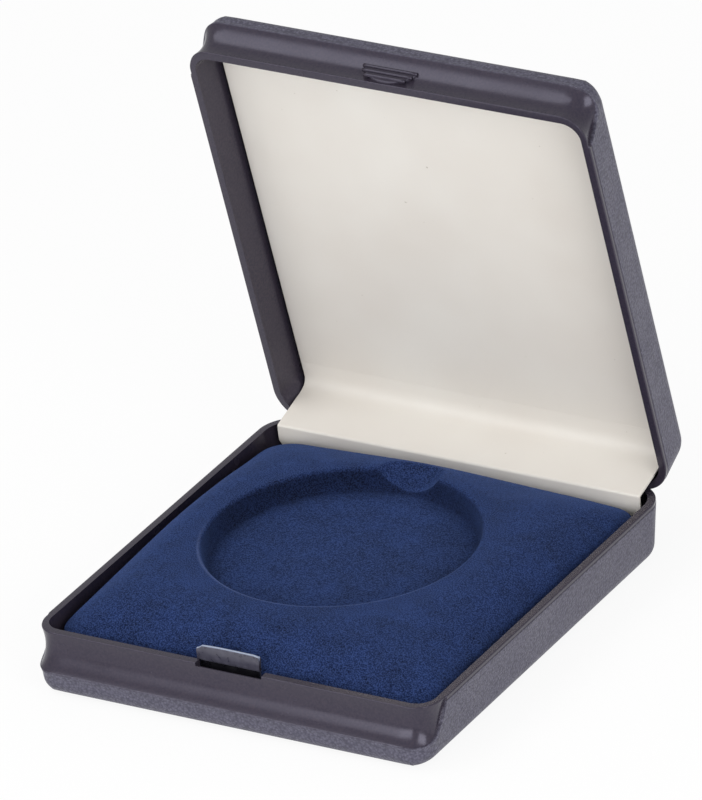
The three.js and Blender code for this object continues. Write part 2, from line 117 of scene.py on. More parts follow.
def finish_mesh(name, bm, flip=False):
    bmesh.ops.remove_doubles(bm, verts=bm.verts, dist=MERGE)
    bmesh.ops.dissolve_degenerate(bm, dist=MERGE / 4, edges=bm.edges)
    if flip:
        bmesh.ops.reverse_faces(bm, faces=bm.faces)
    for face in bm.faces:
        face.smooth = True
    for edge in bm.edges:
        edge.smooth = len(edge.link_faces) == 2 and edge.calc_face_angle(0) < SHARP
    mesh = bpy.data.meshes.new(name)
    bm.to_mesh(mesh)
    bm.free()
    print(name, len(mesh.polygons), "faces")
    return link_object(name, mesh)


def ring_mesh(name, rings, marks=None, flip=False):
    """A closed skin over rings of points, with a mark on each point where marks are given."""
    bm = bmesh.new()
    layer = bm.verts.layers.float.new(MARK)
    rows = []
    for k, ring in enumerate(rings):
        row = [bm.verts.new(point) for point in ring]
        if marks is not None:
            for vertex, mark in zip(row, marks[k]):
                vertex[layer] = mark
        rows.append(row)
    count = len(rows[0])
    for low, high in zip(rows, rows[1:]):
        for i in range(count):
            j = (i + 1) % count
            bm.faces.new((low[i], low[j], high[j], high[i]))
    bm.faces.new(list(reversed(rows[0])))
    bm.faces.new(rows[-1])
    return finish_mesh(name, bm, flip)


# %% [markdown]
# A station is one place on the rim's outline with the way out from there. Even spacing all round would
# be simpler, but the step at the hollow's end and the sides of the two cuts in the rim need close
# points, and the plain runs don't. So the stations lie close only where the form asks for it. The cuts
# are the notch for the snap tongue at the front and the slot for the hinge at the rear.

# %% Stations round the rim
CORNER_STEPS = 44
SIDE_STEPS = 26
END_STEPS = 42
FINE_RUN = 4 * MM
FINE_STEP = 0.22 * MM
CUT_EDGE = 0.01 * MM
HINGE_HALF = 30.3 * MM
NOTCH_HALF = 8.1 * MM
CORNERS = ((1, -1, -90, FRONT_RADIUS), (1, 1, 0, REAR_RADIUS),
           (-1, 1, 90, REAR_RADIUS), (-1, -1, 180, FRONT_RADIUS))


def side_run(a, b, front_first):
    """Steps along a side of the case: close together near its front end, wide elsewhere."""
    length = np.linalg.norm(b - a)
    fine = np.arange(FINE_STEP, FINE_RUN, FINE_STEP)
    if front_first:
        steps = np.concatenate([fine, np.linspace(FINE_RUN, length, SIDE_STEPS)[:-1]])
    else:
        steps = np.concatenate([np.linspace(0, length - FINE_RUN, SIDE_STEPS)[1:], length - fine[::-1]])
    return [a + (b - a) * step / length for step in steps]


def cut_run(a, b, half):
    """Even steps along the front or rear, with a close pair where each side of a cut stands."""
    xs = list(np.linspace(a[0], b[0], END_STEPS)[1:-1])
    for side in (-1, 1):
        xs.extend([side * (half - CUT_EDGE), side * (half + CUT_EDGE)])
    xs = sorted(xs, reverse=bool(b[0] < a[0]))
    return [np.array([x, a[1]]) for x in xs]


def stations(inset):
    """Places and ways out, from the right front corner round to the front's last step."""
    arcs = []
    for side, end, start, radius in CORNERS:
        turns = np.radians(start + np.linspace(0, 90, CORNER_STEPS + 1))
        out = np.stack([np.cos(turns), np.sin(turns)], 1)
        centre = np.array([side * (HALF_WIDTH - radius), end * (HALF_DEPTH - radius)])
        arcs.append((centre + out * (radius - inset), out))
    places, normals = [], []
    for k, (arc, out) in enumerate(arcs):
        following = arcs[(k + 1) % 4][0][0]
        if k == 1:
            steps = cut_run(arc[-1], following, HINGE_HALF)
        elif k == 3:
            steps = cut_run(arc[-1], following, NOTCH_HALF)
        else:
            steps = side_run(arc[-1], following, k == 0)
        places.extend([*arc, *steps])
        normals.extend([*out, *[out[-1]] * len(steps)])
    return np.array(places), np.array(normals)


rim_places, rim_normals = stations(0)
inner_places, inner_normals = stations(WALL)
behind = rim_places[:, 1] + HALF_DEPTH
print(len(rim_places), "stations, up to", round(behind.max() / MM, 1), "mm behind the rim's front")

# %% [markdown]
# The ridge is what stands furthest forward. Each station needs its place on the ridge's outline too.
# The nearest place there would do on the straight front, but it would crowd the points at the corners.
# So a line is drawn from a spot inside the case through the rim's place, and the ridge's place is where
# that line meets the ridge. The way out is then worked out again from the ridge's own outline.

# %% Outline at the ridge
RAY_IN = 12 * MM
RAY_X = HALF_WIDTH - RAY_IN
RAY_Y = -HALF_DEPTH + RAY_IN
SCOOP_END = 7.35 * MM
TURN_REACH = 2 * MM


def ridge_place(place):
    """Where a line from inside the case through a rim place meets the front form at the ridge."""
    x, y = place
    if y > RAY_Y:
        return place.copy()
    front = -HALF_DEPTH - RIDGE_REACH
    if abs(x) <= RAY_X:
        return np.array([x, front])
    side = math.copysign(1, x)
    origin = np.array([side * RAY_X, RAY_Y])
    way = place - origin
    centre = np.array([side * (HALF_WIDTH - FRONT_RADIUS), front + FRONT_RADIUS])
    to_front = origin + way * (front - origin[1]) / min(way[1], -TINY)
    if abs(to_front[0]) <= abs(centre[0]):
        return to_front
    to_side = origin + way * (side * HALF_WIDTH - origin[0]) / (side * max(abs(way[0]), TINY))
    if to_side[1] >= centre[1]:
        return to_side
    gap = origin - centre
    a, b, c = way @ way, 2 * gap @ way, gap @ gap - FRONT_RADIUS ** 2
    return origin + way * (-b + math.sqrt(b * b - 4 * a * c)) / (2 * a)


ridge_places = np.array([ridge_place(place) for place in rim_places])
ahead = np.roll(ridge_places, -1, 0) - np.roll(ridge_places, 1, 0)
ridge_normals = np.stack([ahead[:, 1], -ahead[:, 0]], 1)
ridge_normals /= np.maximum(np.linalg.norm(ridge_normals, axis=1), TINY)[:, None]
is_front = behind < SCOOP_END + TURN_REACH
ridge_normals[~is_front] = rim_normals[~is_front]
print("ridge", round(-ridge_places[:, 1].min() / MM, 2), "mm in front of the middle")

# %% [markdown]
# The base's rim is cut down in two places: a notch where the snap tongue stands, and a slot for the
# hinge's knuckles. Cutting the finished shell with boxes would work, but it would break up the rim's
# clean faces. Here a cut is a depth above which a station's rings can't rise, so that the rim stays
# whole and simply runs lower there.

# %% Cuts in the base's rim
SLOT_DROP = 2.9 * MM
NOTCH_DROP = 0.8 * MM
NOTCH_INSIDE = 3 * MM


def cut_depths(height, inside=False):
    """How far the rim is cut down at each station. Only the base has cuts."""
    cut = np.zeros(len(rim_places))
    if height == BASE_HEIGHT:
        notch = (abs(rim_places[:, 0]) < NOTCH_HALF) & (rim_places[:, 1] < 0)
        slot = (abs(rim_places[:, 0]) < HINGE_HALF) & (rim_places[:, 1] > HALF_DEPTH - MM)
        cut[notch] = NOTCH_INSIDE if inside else NOTCH_DROP
        cut[slot] = SLOT_DROP
    return cut


print("stations in the cuts", int((cut_depths(BASE_HEIGHT) > 0).sum()))

# %% [markdown]
# The hollow front gives the case its look: it is smooth, with a small step where it ends on each side,
# and the faces beyond the step are grained. Sculpting could give it, but a formula keeps the left and
# the right alike and fits both shells. Each station blends from the rim's outline to the ridge's with
# the depth, more steeply near the ridge, and the same formula marks where the grain starts.

# %% Outer and inner wall
RIDGE_CURVE = 2.2
HOLLOW = 0.45 * MM
HOLLOW_FOLLOW = 3 * MM
SIDE_SET = 0.35 * MM
SIDE_SET_RUN = 4 * MM
SIDE_SET_POWER = 4
SCOOP_START = 0.5 * MM
SCOOP_BLUNT = 0.75
STEP_WIDTH = 0.3 * MM
LIP_BAND = 1.1 * MM
LIP_SET = 0.1 * MM
FLARE = 0.3 * MM
FLARE_REACH = 1.2 * MM
FLARE_POWER = 8
FLARE_START = 2 * MM
FLARE_RUN = 4 * MM
INNER_ROUND = EDGE_RADIUS - WALL


def scooped(depths, ridge):
    """How much each place belongs to the hollow, from 0 to 1, with a short soft step between."""
    reach = np.clip((behind - SCOOP_START) / (SCOOP_END - SCOOP_START), 0, 1)
    edge_of_scoop = ridge * (1 - reach ** 2) ** SCOOP_BLUNT
    return smooth_step((edge_of_scoop - depths) / STEP_WIDTH + 0.5) * (behind < SCOOP_END)


def flared(depths, ridge, part):
    """How far the ridge flares out at the front. The flare fades away along the sides."""
    flare = FLARE * np.clip(1 - (depths - ridge) / FLARE_REACH, 0, 1) * (depths >= ridge - TINY)
    flare = np.where(depths < ridge, FLARE * part ** FLARE_POWER, flare)
    return flare * (1 - smooth_step((behind - FLARE_START) / FLARE_RUN))


def drawn_in(depths, start, radius):
    """How far a wall draws in where it rounds over into a flat face, from a starting depth on."""
    below = np.maximum(0, depths - start)
    return radius - np.sqrt(np.maximum(0, radius ** 2 - below ** 2))


def wall_ring(depth, height, inset=0.0):
    """One ring of a shell's outer wall at a depth below the rim, and its marks: 1 where it is grained."""
    ridge = height * RIDGE_SHARE
    depths = np.maximum(depth, cut_depths(height))
    inside = scooped(depths, ridge)
    part = np.minimum(1, depths / ridge)
    forward = inside * part ** RIDGE_CURVE + (1 - inside)
    side_set = SIDE_SET * smooth_step(behind / SIDE_SET_RUN) * (1 - part ** SIDE_SET_POWER)
    hollow = inside * (HOLLOW * np.sin(math.pi * part) + side_set)
    edge = drawn_in(depths, height - EDGE_RADIUS, EDGE_RADIUS)
    lean = SIDE_DRAFT * depths / height
    flare = flared(depths, ridge, part)
    band = LIP_SET * (1 - inside) * (depths < LIP_BAND) * (behind > SCOOP_END)
    place = rim_places + (ridge_places - rim_places) * forward[:, None]
    place = place - rim_normals * (hollow + inset)[:, None]
    back = np.where(rim_places[:, 1] > 0, lean, 0)
    place[:, 0] -= ridge_normals[:, 0] * (edge + lean - flare + band)
    place[:, 1] -= ridge_normals[:, 1] * (edge + back - flare + band)
    grain = (1 - inside) * (depths > LIP_BAND)
    return np.column_stack([place, height - depths]), grain


def inner_ring(depth, height, inset=0.0):
    """One ring of a shell's inner wall. It follows the hollow, so that the wall stays even."""
    depths = np.maximum(depth, cut_depths(height, True))
    edge = drawn_in(depths, height - FLOOR - INNER_ROUND, INNER_ROUND)
    lean = SIDE_DRAFT * depths / height
    followed = HOLLOW * np.minimum(1, depths / HOLLOW_FOLLOW) * (behind < FRONT_RADIUS)
    back = np.where(rim_places[:, 1] > 0, lean, followed)
    place = inner_places.copy()
    place[:, 0] -= inner_normals[:, 0] * (lean + edge - inset)
    place[:, 1] -= inner_normals[:, 1] * (back + edge - inset)
    return np.column_stack([place, height - depths]), np.zeros(len(place))


# %% [markdown]
# One moulded shell is a thin even wall with rounded edges, as it leaves its mould. A solid box with
# Solidify and Bevel would come close, but neither knows the hollow front. So the rings run from the
# middle of the flat face up the outer wall, over the rounded rim, down the inner wall and out to the
# middle of the floor. Both shells use it, because the lid is the same form at another height.

# %% One moulded shell
ROUND_STEPS = 8
WALL_STEPS = 40
LOW_STEPS = 12
INNER_STEPS = 12
SUPPORT = 0.6 * MM


def toward_middle(ring, distance):
    """The same ring drawn in by a small distance, which keeps the flat face beside it flat."""
    pulled = ring.copy()
    for axis in (0, 1):
        pulled[:, axis] -= np.sign(ring[:, axis]) * np.minimum(distance, abs(ring[:, axis]))
    return pulled


def rim_rounding(turn):
    """The depth and the inset of the rim's small rounding at a turn."""
    return RIM_ROUND * (1 - math.sin(turn)), RIM_ROUND * (1 - math.cos(turn))


def shell_rings(height):
    quarter = np.linspace(0, math.pi / 2, ROUND_STEPS + 1)
    ridge = height * RIDGE_SHARE
    outer = list(height - EDGE_RADIUS + EDGE_RADIUS * np.sin(quarter))[::-1]
    outer += list(np.linspace(height - EDGE_RADIUS, ridge, LOW_STEPS))[1:]
    outer += list(np.linspace(ridge, RIM_ROUND, WALL_STEPS))[1:]
    rings = [wall_ring(depth, height) for depth in outer]
    for turn in quarter[1:]:
        depth, inset = rim_rounding(turn)
        rings.append(wall_ring(depth, height, inset))
    for turn in quarter[::-1]:
        depth, inset = rim_rounding(turn)
        rings.append(inner_ring(depth, height, -inset))
    corner = height - FLOOR - INNER_ROUND
    inner = list(np.linspace(RIM_ROUND, corner, INNER_STEPS))[1:]
    inner += list(corner + INNER_ROUND * np.sin(quarter))[1:]
    rings += [inner_ring(depth, height) for depth in inner]
    points = [ring for ring, _ in rings]
    marks = [mark for _, mark in rings]
    points = [toward_middle(points[0], SUPPORT)] + points + [toward_middle(points[-1], SUPPORT)]
    return points, [marks[0]] + marks + [marks[-1]]


# %% [markdown]
# The base stands on its flat face. Behind the hinge its rim is rounded, so that the lid's rim can swing
# past. A bevel would need one exact edge to work on, so the points that lie over and behind the hinge's
# axis are simply drawn in to one radius about it.

# %% Base shell
REAR_ROUND = 1.35 * MM


def round_rear(points):
    axis = np.array([HINGE.y, HINGE.z])
    for ring in points:
        over = (ring[:, 1] > HINGE.y) & (ring[:, 2] > HINGE.z)
        offset = ring[over][:, 1:] - axis
        distance = np.linalg.norm(offset, axis=1)
        scale = np.minimum(1, REAR_ROUND / np.maximum(distance, TINY))
        ring[over, 1:] = axis + offset * scale[:, None]


points, marks = shell_rings(BASE_HEIGHT)
round_rear(points)
base = ring_mesh("base_case", points, marks)

# %% [markdown]
# The lid could be modelled as it stands open, but a tilted piece is hard to draw. It is made shut,
# above the base, and then swung open about the hinge by the same turn as the construction's. Everything
# else that rides on the lid takes the same swing.

# %% Lid shell
LID_RIM = BASE_HEIGHT + SHELL_GAP
swing = Matrix.Translation(HINGE) @ Matrix.Rotation(-OPEN, 4, "X") @ Matrix.Translation(-HINGE)
points, marks = shell_rings(LID_HEIGHT)
for ring in points:
    ring[:, 2] = LID_RIM + LID_HEIGHT - ring[:, 2]
lid = ring_mesh("lid_case", points, marks, flip=True)
lid.data.transform(swing)
print("lid reaches", round(max(v.co.z for v in lid.data.vertices) / MM, 1), "mm high")

# %% [markdown]
# A finish is a tree of shader nodes. It could be wired by hand in the editor, or with picture textures,
# but a few short helpers keep a procedural finish readable and sharp at any distance. Each helper adds
# one node: a number goes on the socket and another node's output is linked. Patterns use the object's
# own coordinates, in metres, so that a size in a finish is a real size.

# %% Finish helpers
NOISE_LOW = 0.3
NOISE_HIGH = 0.7


def srgb(red, green, blue):
    """A colour as it is seen on screen, from 0 to 255, as the linear values that a shader reads."""
    parts = [channel / 255 for channel in (red, green, blue)]
    return tuple(c / 12.92 if c <= 0.04045 else ((c + 0.055) / 1.055) ** 2.4 for c in parts) + (1.0,)


def add_node(tree, kind, inputs=(), **settings):
    node = tree.nodes.new(kind)
    for key, value in settings.items():
        setattr(node, key, value)
    for key, value in dict(inputs).items():
        if isinstance(value, bpy.types.NodeSocket):
            tree.links.new(value, node.inputs[key])
        else:
            node.inputs[key].default_value = value
    return node


def maths(tree, operation, first, second=0.0):
    return add_node(tree, "ShaderNodeMath", {0: first, 1: second}, operation=operation).outputs[0]


def finish(name, colour, roughness, **sockets):
    """A new material, with its plain values. A socket's name is written with _ for each space."""
    material = bpy.data.materials.new(name)
    material.use_nodes = True
    shader = material.node_tree.nodes["Principled BSDF"]
    shader.inputs["Base Color"].default_value = colour
    shader.inputs["Roughness"].default_value = roughness
    for key, value in sockets.items():
        shader.inputs[key.replace("_", " ")].default_value = value
    place = add_node(material.node_tree, "ShaderNodeTexCoord").outputs["Object"]
    return material, material.node_tree, shader, place


def feed(tree, shader, **outputs):
    """Links patterns to the shader's sockets, named as for finish."""
    for key, output in outputs.items():
        tree.links.new(output, shader.inputs[key.replace("_", " ")])


def noise(tree, place, size, detail=2.0, rough=0.5):
    """Soft noise whose blobs are about as wide as size, in metres."""
    inputs = {"Vector": place, "Scale": 1 / size, "Detail": detail, "Roughness": rough}
    return add_node(tree, "ShaderNodeTexNoise", inputs).outputs["Fac"]


def ramp(tree, value, low, high, start=0.0, end=1.0):
    inputs = {"Value": value, "From Min": low, "From Max": high, "To Min": start, "To Max": end}
    return add_node(tree, "ShaderNodeMapRange", inputs).outputs["Result"]


def spread(tree, value, start=0.0, end=1.0):
    """Noise keeps near its middle, so that middle is stretched to the whole range asked for."""
    return ramp(tree, value, NOISE_LOW, NOISE_HIGH, start, end)


def point_mark(tree):
    return add_node(tree, "ShaderNodeAttribute", attribute_name=MARK).outputs["Fac"]


def blend_colour(tree, amount, first, second):
    inputs = {0: amount, 6: first, 7: second}
    return add_node(tree, "ShaderNodeMix", inputs, data_type="RGBA").outputs[2]


def bump(tree, shader, height, distance, strength=1.0, under=None):
    """Relief on the shader's normal, on top of another relief where one is given."""
    inputs = {"Height": height, "Distance": distance, "Strength": strength}
    if under is not None:
        inputs["Normal"] = under
    normal = add_node(tree, "ShaderNodeBump", inputs).outputs["Normal"]
    feed(tree, shader, Normal=normal)
    return normal


# %% [markdown]
# The moulded plastic is a dark navy. Its outer faces carry a fine leather grain, pebbles about half a
# millimetre wide. Real displacement could raise them, at the cost of millions of faces for a relief
# that only shows as sparkle, so it is a bump: a cell pattern broken up by noise. The hollow front, the
# rims and the inside are smooth with a satin gloss, and the mark on each point says which is which.

# %% Moulded navy plastic
PEBBLE = 0.62 * MM
PEBBLE_BREAK = PEBBLE * 0.7
PEBBLE_RELIEF = 0.16 * MM
WAVE = 9 * MM
WAVE_RELIEF = 0.05 * MM
DUST = 0.5 * MM


def navy_plastic():
    material, tree, shader, place = finish("navy_moulding", srgb(58, 56, 70), 0.4,
                                           Specular_Tint=srgb(228, 226, 248))
    grained = point_mark(tree)
    voronoi = {"Vector": place, "Scale": 1 / PEBBLE, "Randomness": 1.0}
    cells = add_node(tree, "ShaderNodeTexVoronoi", voronoi, feature="F1").outputs["Distance"]
    pebbles = maths(tree, "ADD", cells, noise(tree, place, PEBBLE_BREAK, 3.0, 0.6))
    wave = noise(tree, place, WAVE, 3.0)
    under = bump(tree, shader, wave, WAVE_RELIEF, 0.5)
    bump(tree, shader, maths(tree, "MULTIPLY", pebbles, grained), PEBBLE_RELIEF, 1.0, under)
    rough_tone = blend_colour(tree, ramp(tree, pebbles, 0.35, 1.25), srgb(104, 102, 118), srgb(60, 58, 72))
    dust = spread(tree, noise(tree, place, DUST, 2.0))
    smooth_tone = blend_colour(tree, dust, srgb(44, 40, 52), srgb(55, 49, 59))
    gloss = maths(tree, "ADD", ramp(tree, grained, 0.0, 1.0, 0.22, 0.46), spread(tree, wave, -0.04, 0.06))
    feed(tree, shader, Base_Color=blend_colour(tree, grained, smooth_tone, rough_tone), Roughness=gloss,
         Specular_IOR_Level=ramp(tree, grained, 0.0, 1.0, 0.5, 0.75))
    return material


navy = navy_plastic()
for piece, body, node in ((base, "base", "base_shell"), (lid, "lid", "lid_shell")):
    piece.data.materials.append(navy)
    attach(piece, body)
    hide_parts(node)
print("navy plastic on", base.name, "and", lid.name)

# %% [markdown]
# The half-round thumb grip sits in the lid's hollow, moulded in one with the lid. Its flat face has a
# soft edge. Extrude and Bevel would make it too, but the rings that made the shells do it as well: the
# outline is repeated along the depth and drawn in over the last bit, towards a spot near its middle.

# %% Thumb grip
GRIP_WIDTH = 14 * MM
GRIP_HEIGHT = 6.4 * MM
GRIP_TOP = 6.8 * MM
GRIP_FACE = 0.5 * MM
GRIP_BACK = 1.2 * MM
GRIP_MIDDLE = 0.45
GRIP_BEVEL = 0.35 * MM
GRIP_POINTS = 49
BEVEL_RINGS = 6


def grip_body():
    turns = np.linspace(math.pi, 2 * math.pi, GRIP_POINTS)
    outline = np.array([(GRIP_WIDTH / 2 * math.cos(t), GRIP_TOP + GRIP_HEIGHT * math.sin(t)) for t in turns])
    away = outline - np.array([0, GRIP_TOP - GRIP_HEIGHT * GRIP_MIDDLE])
    away /= np.linalg.norm(away, axis=1)[:, None]
    rings = [[(x, -HALF_DEPTH + GRIP_BACK, LID_RIM + z) for x, z in outline]]
    for turn in np.linspace(0, math.pi / 2, BEVEL_RINGS):
        pulled = outline - away * (GRIP_BEVEL * (1 - math.cos(turn)))
        y = -HALF_DEPTH - GRIP_FACE + GRIP_BEVEL * (1 - math.sin(turn))
        rings.append([(x, y, LID_RIM + z) for x, z in pulled])
    return ring_mesh("thumb_grip", rings)


grip = grip_body()
grip.data.materials.append(navy)

# %% [markdown]
# Four ribs cross the grip's face, each as long as the half-round is wide at its height. They could be
# four copies placed by hand, but what repeats by a rule suits Geometry Nodes: a line of points down the
# face, a rounded bar on each point, and each bar's length worked out from how far down it lies. The
# tree ends in Realize Instances and Set Material, so that a plain mesh comes out.

# %% Tree for the ribs
GRIP_RIBS = 4
RIB_RADIUS = 0.42 * MM
RIB_SPARE = 0.6
RIB_PITCH = GRIP_HEIGHT / (GRIP_RIBS + RIB_SPARE)
RIB_TRIM = 0.3 * MM
RIB_SIDES = 16
RIB_CUTS = 12
RIB_INPUTS = {"Ribs": GRIP_RIBS, "Pitch": RIB_PITCH, "Radius": RIB_RADIUS,
              "Half Width": GRIP_WIDTH / 2, "Drop": GRIP_HEIGHT}


def add_input(tree, name, value):
    kind = "NodeSocketInt" if isinstance(value, int) else "NodeSocketFloat"
    item = tree.interface.new_socket(name=name, in_out="INPUT", socket_type=kind)
    item.default_value = value
    return item.identifier


def rib_tree(material):
    tree = bpy.data.node_groups.new("grip_ribs", "GeometryNodeTree")
    tree.interface.new_socket(name="Geometry", in_out="OUTPUT", socket_type="NodeSocketGeometry")
    keys = {name: add_input(tree, name, value) for name, value in RIB_INPUTS.items()}
    given = tree.nodes.new("NodeGroupInput").outputs
    step = add_node(tree, "ShaderNodeCombineXYZ", {"Z": maths(tree, "MULTIPLY", given["Pitch"], -1.0)})
    line = {"Count": given["Ribs"], "Offset": step.outputs[0]}
    points = add_node(tree, "GeometryNodeMeshLine", line).outputs[0]
    # The bar is 2 m long, so that its scale along X is half the rib's length.
    bar = {"Vertices": RIB_SIDES, "Side Segments": RIB_CUTS, "Radius": given["Radius"], "Depth": 2.0}
    bar = add_node(tree, "GeometryNodeMeshCylinder", bar).outputs["Mesh"]
    laid = {"Geometry": bar, "Rotation": (0.0, math.pi / 2, 0.0)}
    laid = add_node(tree, "GeometryNodeTransform", laid).outputs[0]
    place = add_node(tree, "GeometryNodeInputPosition").outputs[0]
    height = add_node(tree, "ShaderNodeSeparateXYZ", {0: place}).outputs["Z"]
    share = maths(tree, "DIVIDE", height, given["Drop"])
    left = maths(tree, "SUBTRACT", 1.0, maths(tree, "MULTIPLY", share, share))
    half = maths(tree, "MULTIPLY", maths(tree, "SQRT", left), given["Half Width"])
    half = maths(tree, "SUBTRACT", half, RIB_TRIM)
    scale = add_node(tree, "ShaderNodeCombineXYZ", {"X": half, "Y": 1.0, "Z": 1.0}).outputs[0]
    placed = {"Points": points, "Instance": laid, "Scale": scale}
    placed = add_node(tree, "GeometryNodeInstanceOnPoints", placed).outputs[0]
    real = add_node(tree, "GeometryNodeRealizeInstances", {"Geometry": placed}).outputs[0]
    dressed = add_node(tree, "GeometryNodeSetMaterial", {"Geometry": real, "Material": material}).outputs[0]
    tree.links.new(dressed, tree.nodes.new("NodeGroupOutput").inputs[0])
    return tree, keys


ribs_tree, rib_keys = rib_tree(navy)
print("rib tree with", len(ribs_tree.nodes), "nodes")

# %% [markdown]
# The tree runs once on an empty holder, and its result is kept as a plain mesh. A live modifier would
# also render, but the piece has to ride on the lid and be written out, and a plain mesh can do both.

# %% Ribs on the grip
RIB_FIRST = RIB_PITCH * 0.75


def from_nodes(name, tree, keys, values):
    """Runs a Geometry Nodes tree once and keeps its result as a plain mesh object."""
    holder = link_object(name + "_nodes", bpy.data.meshes.new(name + "_start"))
    modifier = holder.modifiers.new("nodes", "NODES")
    modifier.node_group = tree
    for key, value in values.items():
        modifier[keys[key]] = value
    bpy.context.view_layer.update()
    evaluated = holder.evaluated_get(bpy.context.evaluated_depsgraph_get())
    mesh = bpy.data.meshes.new_from_object(evaluated)
    bpy.data.objects.remove(holder)
    return link_object(name, mesh)


ribs = from_nodes("grip_ribs", ribs_tree, rib_keys, RIB_INPUTS)
ribs.data.transform(Matrix.Translation((0, -HALF_DEPTH - GRIP_FACE, LID_RIM + GRIP_TOP - RIB_FIRST)))
for face in ribs.data.polygons:
    face.use_smooth = True
for piece in (grip, ribs):
    piece.data.transform(swing)
    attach(piece, "lid")
    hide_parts("lid_shell")
print("ribs", len(ribs.data.polygons), "faces at a pitch of", round(RIB_PITCH / MM, 2), "mm")

# %% [markdown]
# The velvet pad is a foam block covered in cloth: a crown that falls away to its edges, drawn-in sides,
# and a round recess for the medal. A sculpted or remeshed block is the usual way to a cushion, but a
# remesh coarse enough for a simulation would lose the recess's crisp wall. So the pad is drawn as rings
# that spread from the recess to the pad's outline, and the recess stays truly round.

# %% Outline of the pad
PAD_HALF = 46.1 * MM
PAD_FRONT = -48.3 * MM
PAD_REAR = 45.2 * MM
PAD_CORNER = 7 * MM
PAD_CORNER_POINTS = 25
PAD_STATIONS = 320


def pad_outline(inset):
    """Evenly spaced places round the pad's rounded square, starting in the middle of its front."""
    radius = PAD_CORNER - inset / 2
    xs = (-PAD_HALF + inset + radius, PAD_HALF - inset - radius)
    ys = (PAD_FRONT + inset + radius, PAD_REAR - inset - radius)
    path = [np.array([[0, PAD_FRONT + inset]])]
    for x, y, start in ((xs[1], ys[0], -90), (xs[1], ys[1], 0), (xs[0], ys[1], 90), (xs[0], ys[0], 180)):
        turns = np.radians(start + np.linspace(0, 90, PAD_CORNER_POINTS))
        path.append(np.stack([x + radius * np.cos(turns), y + radius * np.sin(turns)], 1))
    path.append(path[0])
    path = np.concatenate(path)
    lengths = np.concatenate([[0], np.cumsum(np.linalg.norm(np.diff(path, axis=0), axis=1))])
    wanted = np.linspace(0, lengths[-1], PAD_STATIONS, endpoint=False)
    return np.stack([np.interp(wanted, lengths, path[:, axis]) for axis in (0, 1)], 1)


bulge = pad_outline(0)
print("pad", [round(v / MM, 1) for v in np.ptp(bulge, axis=0)], "mm")

# %% [markdown]
# The rings of the pad, from its foot up the side, over the crown, round the recess's lip, down its wall
# and in over its floor. Marks go with them for painted light: below 0 on the near part of the lip, a
# painted highlight where the pile meets the light at a grazing angle, and up to 1 down the wall and at
# the floor's edge, painted shade where the recess lies in shadow. They could be painted by hand, but a
# few values in step with the rings stay in place when a size changes.

# %% Rings of the pad
RECESS = np.array([-1.6, -0.8]) * MM
RECESS_RADIUS = 30 * MM
RECESS_DEPTH = 5 * MM
RECESS_ROUND = 1.1 * MM
RECESS_FOOT = 1.4 * MM
PAD_TOP = 19.5 * MM
PAD_FLOOR = PAD_TOP - RECESS_DEPTH
PAD_EDGE = 11 * MM
PAD_FOOT = 3.4 * MM
FOOT_INSET = 1 * MM
PAD_CROWN = 3.2
PAD_CROWN_REAR = 1.8
CROWN_RINGS = 34
CROWN_SPACING = 1.5
REAR_GAIN = 2.2
REAR_SET = 0.9
SIDE_SHARES = (0.25, 0.5, 0.75)
ROUND_RINGS = 7
FLOOR_RINGS = 26
FLOOR_MIDDLE = 0.5 * MM
NEAR_GAIN = 1.5
# Painted light in the recess: below 0 paints a highlight on the near lip, up to 1 paints shade on the far
# lip, down the wall and at the floor's edge.
LIP_HIGHLIGHT_SHADE_MARKS = ((-1, 0), (-1, 0.2), (-0.3, 0.5), (0, 0.8), (1, 1), (1, 1))
WALL_SHADE_MARKS = (1, 1, 1, 1, 1, 0.8)
FLOOR_SHADE_MARKS = (0.5, 0.25, 0.1)


def flat(places, z):
    return np.column_stack([places, np.full(len(places), z)])


def pad_rings():
    foot = pad_outline(FOOT_INSET)
    away = bulge - RECESS
    ray = away / np.linalg.norm(away, axis=1)[:, None]
    rings = [flat(foot, PAD_FOOT)]
    for share in SIDE_SHARES:
        z = PAD_FOOT + (PAD_EDGE - PAD_FOOT) * share
        rings.append(flat(foot + (bulge - foot) * math.sin(share * math.pi / 2), z))
    start = RECESS + ray * (RECESS_RADIUS + RECESS_ROUND)
    # Behind the recess the crown falls sooner: fully where a ray points back by 60 degrees or more.
    rearward = smooth_step(ray[:, 1] * REAR_GAIN - REAR_SET)
    crown = PAD_CROWN + (PAD_CROWN_REAR - PAD_CROWN) * rearward
    for t in 1 - np.linspace(0, 1, CROWN_RINGS) ** CROWN_SPACING:
        z = PAD_EDGE + (PAD_TOP - PAD_EDGE) * (1 - t ** crown)
        rings.append(np.column_stack([start + (bulge - start) * t, z]))
    marks = [np.zeros(PAD_STATIONS) for _ in rings]
    near = np.clip(-ray[:, 1] * NEAR_GAIN, 0, 1)
    quarter = np.linspace(0, math.pi / 2, ROUND_RINGS)[1:]
    for turn, (at_front, elsewhere) in zip(quarter, LIP_HIGHLIGHT_SHADE_MARKS):
        out = RECESS_RADIUS + RECESS_ROUND * (1 - math.sin(turn))
        rings.append(flat(RECESS + ray * out, PAD_TOP - RECESS_ROUND * (1 - math.cos(turn))))
        marks.append(at_front * near + elsewhere * (1 - near))
    for turn, mark in zip(quarter, WALL_SHADE_MARKS):
        out = RECESS_RADIUS - RECESS_FOOT * (1 - math.cos(turn))
        drop = (RECESS_DEPTH - RECESS_ROUND) * math.sin(turn)
        rings.append(flat(RECESS + ray * out, PAD_TOP - RECESS_ROUND - drop))
        marks.append(np.full(PAD_STATIONS, mark))
    for k, radius in enumerate(np.linspace(RECESS_RADIUS - RECESS_FOOT, FLOOR_MIDDLE, FLOOR_RINGS)[1:]):
        rings.append(flat(RECESS + ray * radius, PAD_FLOOR))
        marks.append(np.full(PAD_STATIONS, FLOOR_SHADE_MARKS[k] if k < len(FLOOR_SHADE_MARKS) else 0))
    return rings, marks


pad = ring_mesh("velvet_pad", *pad_rings())

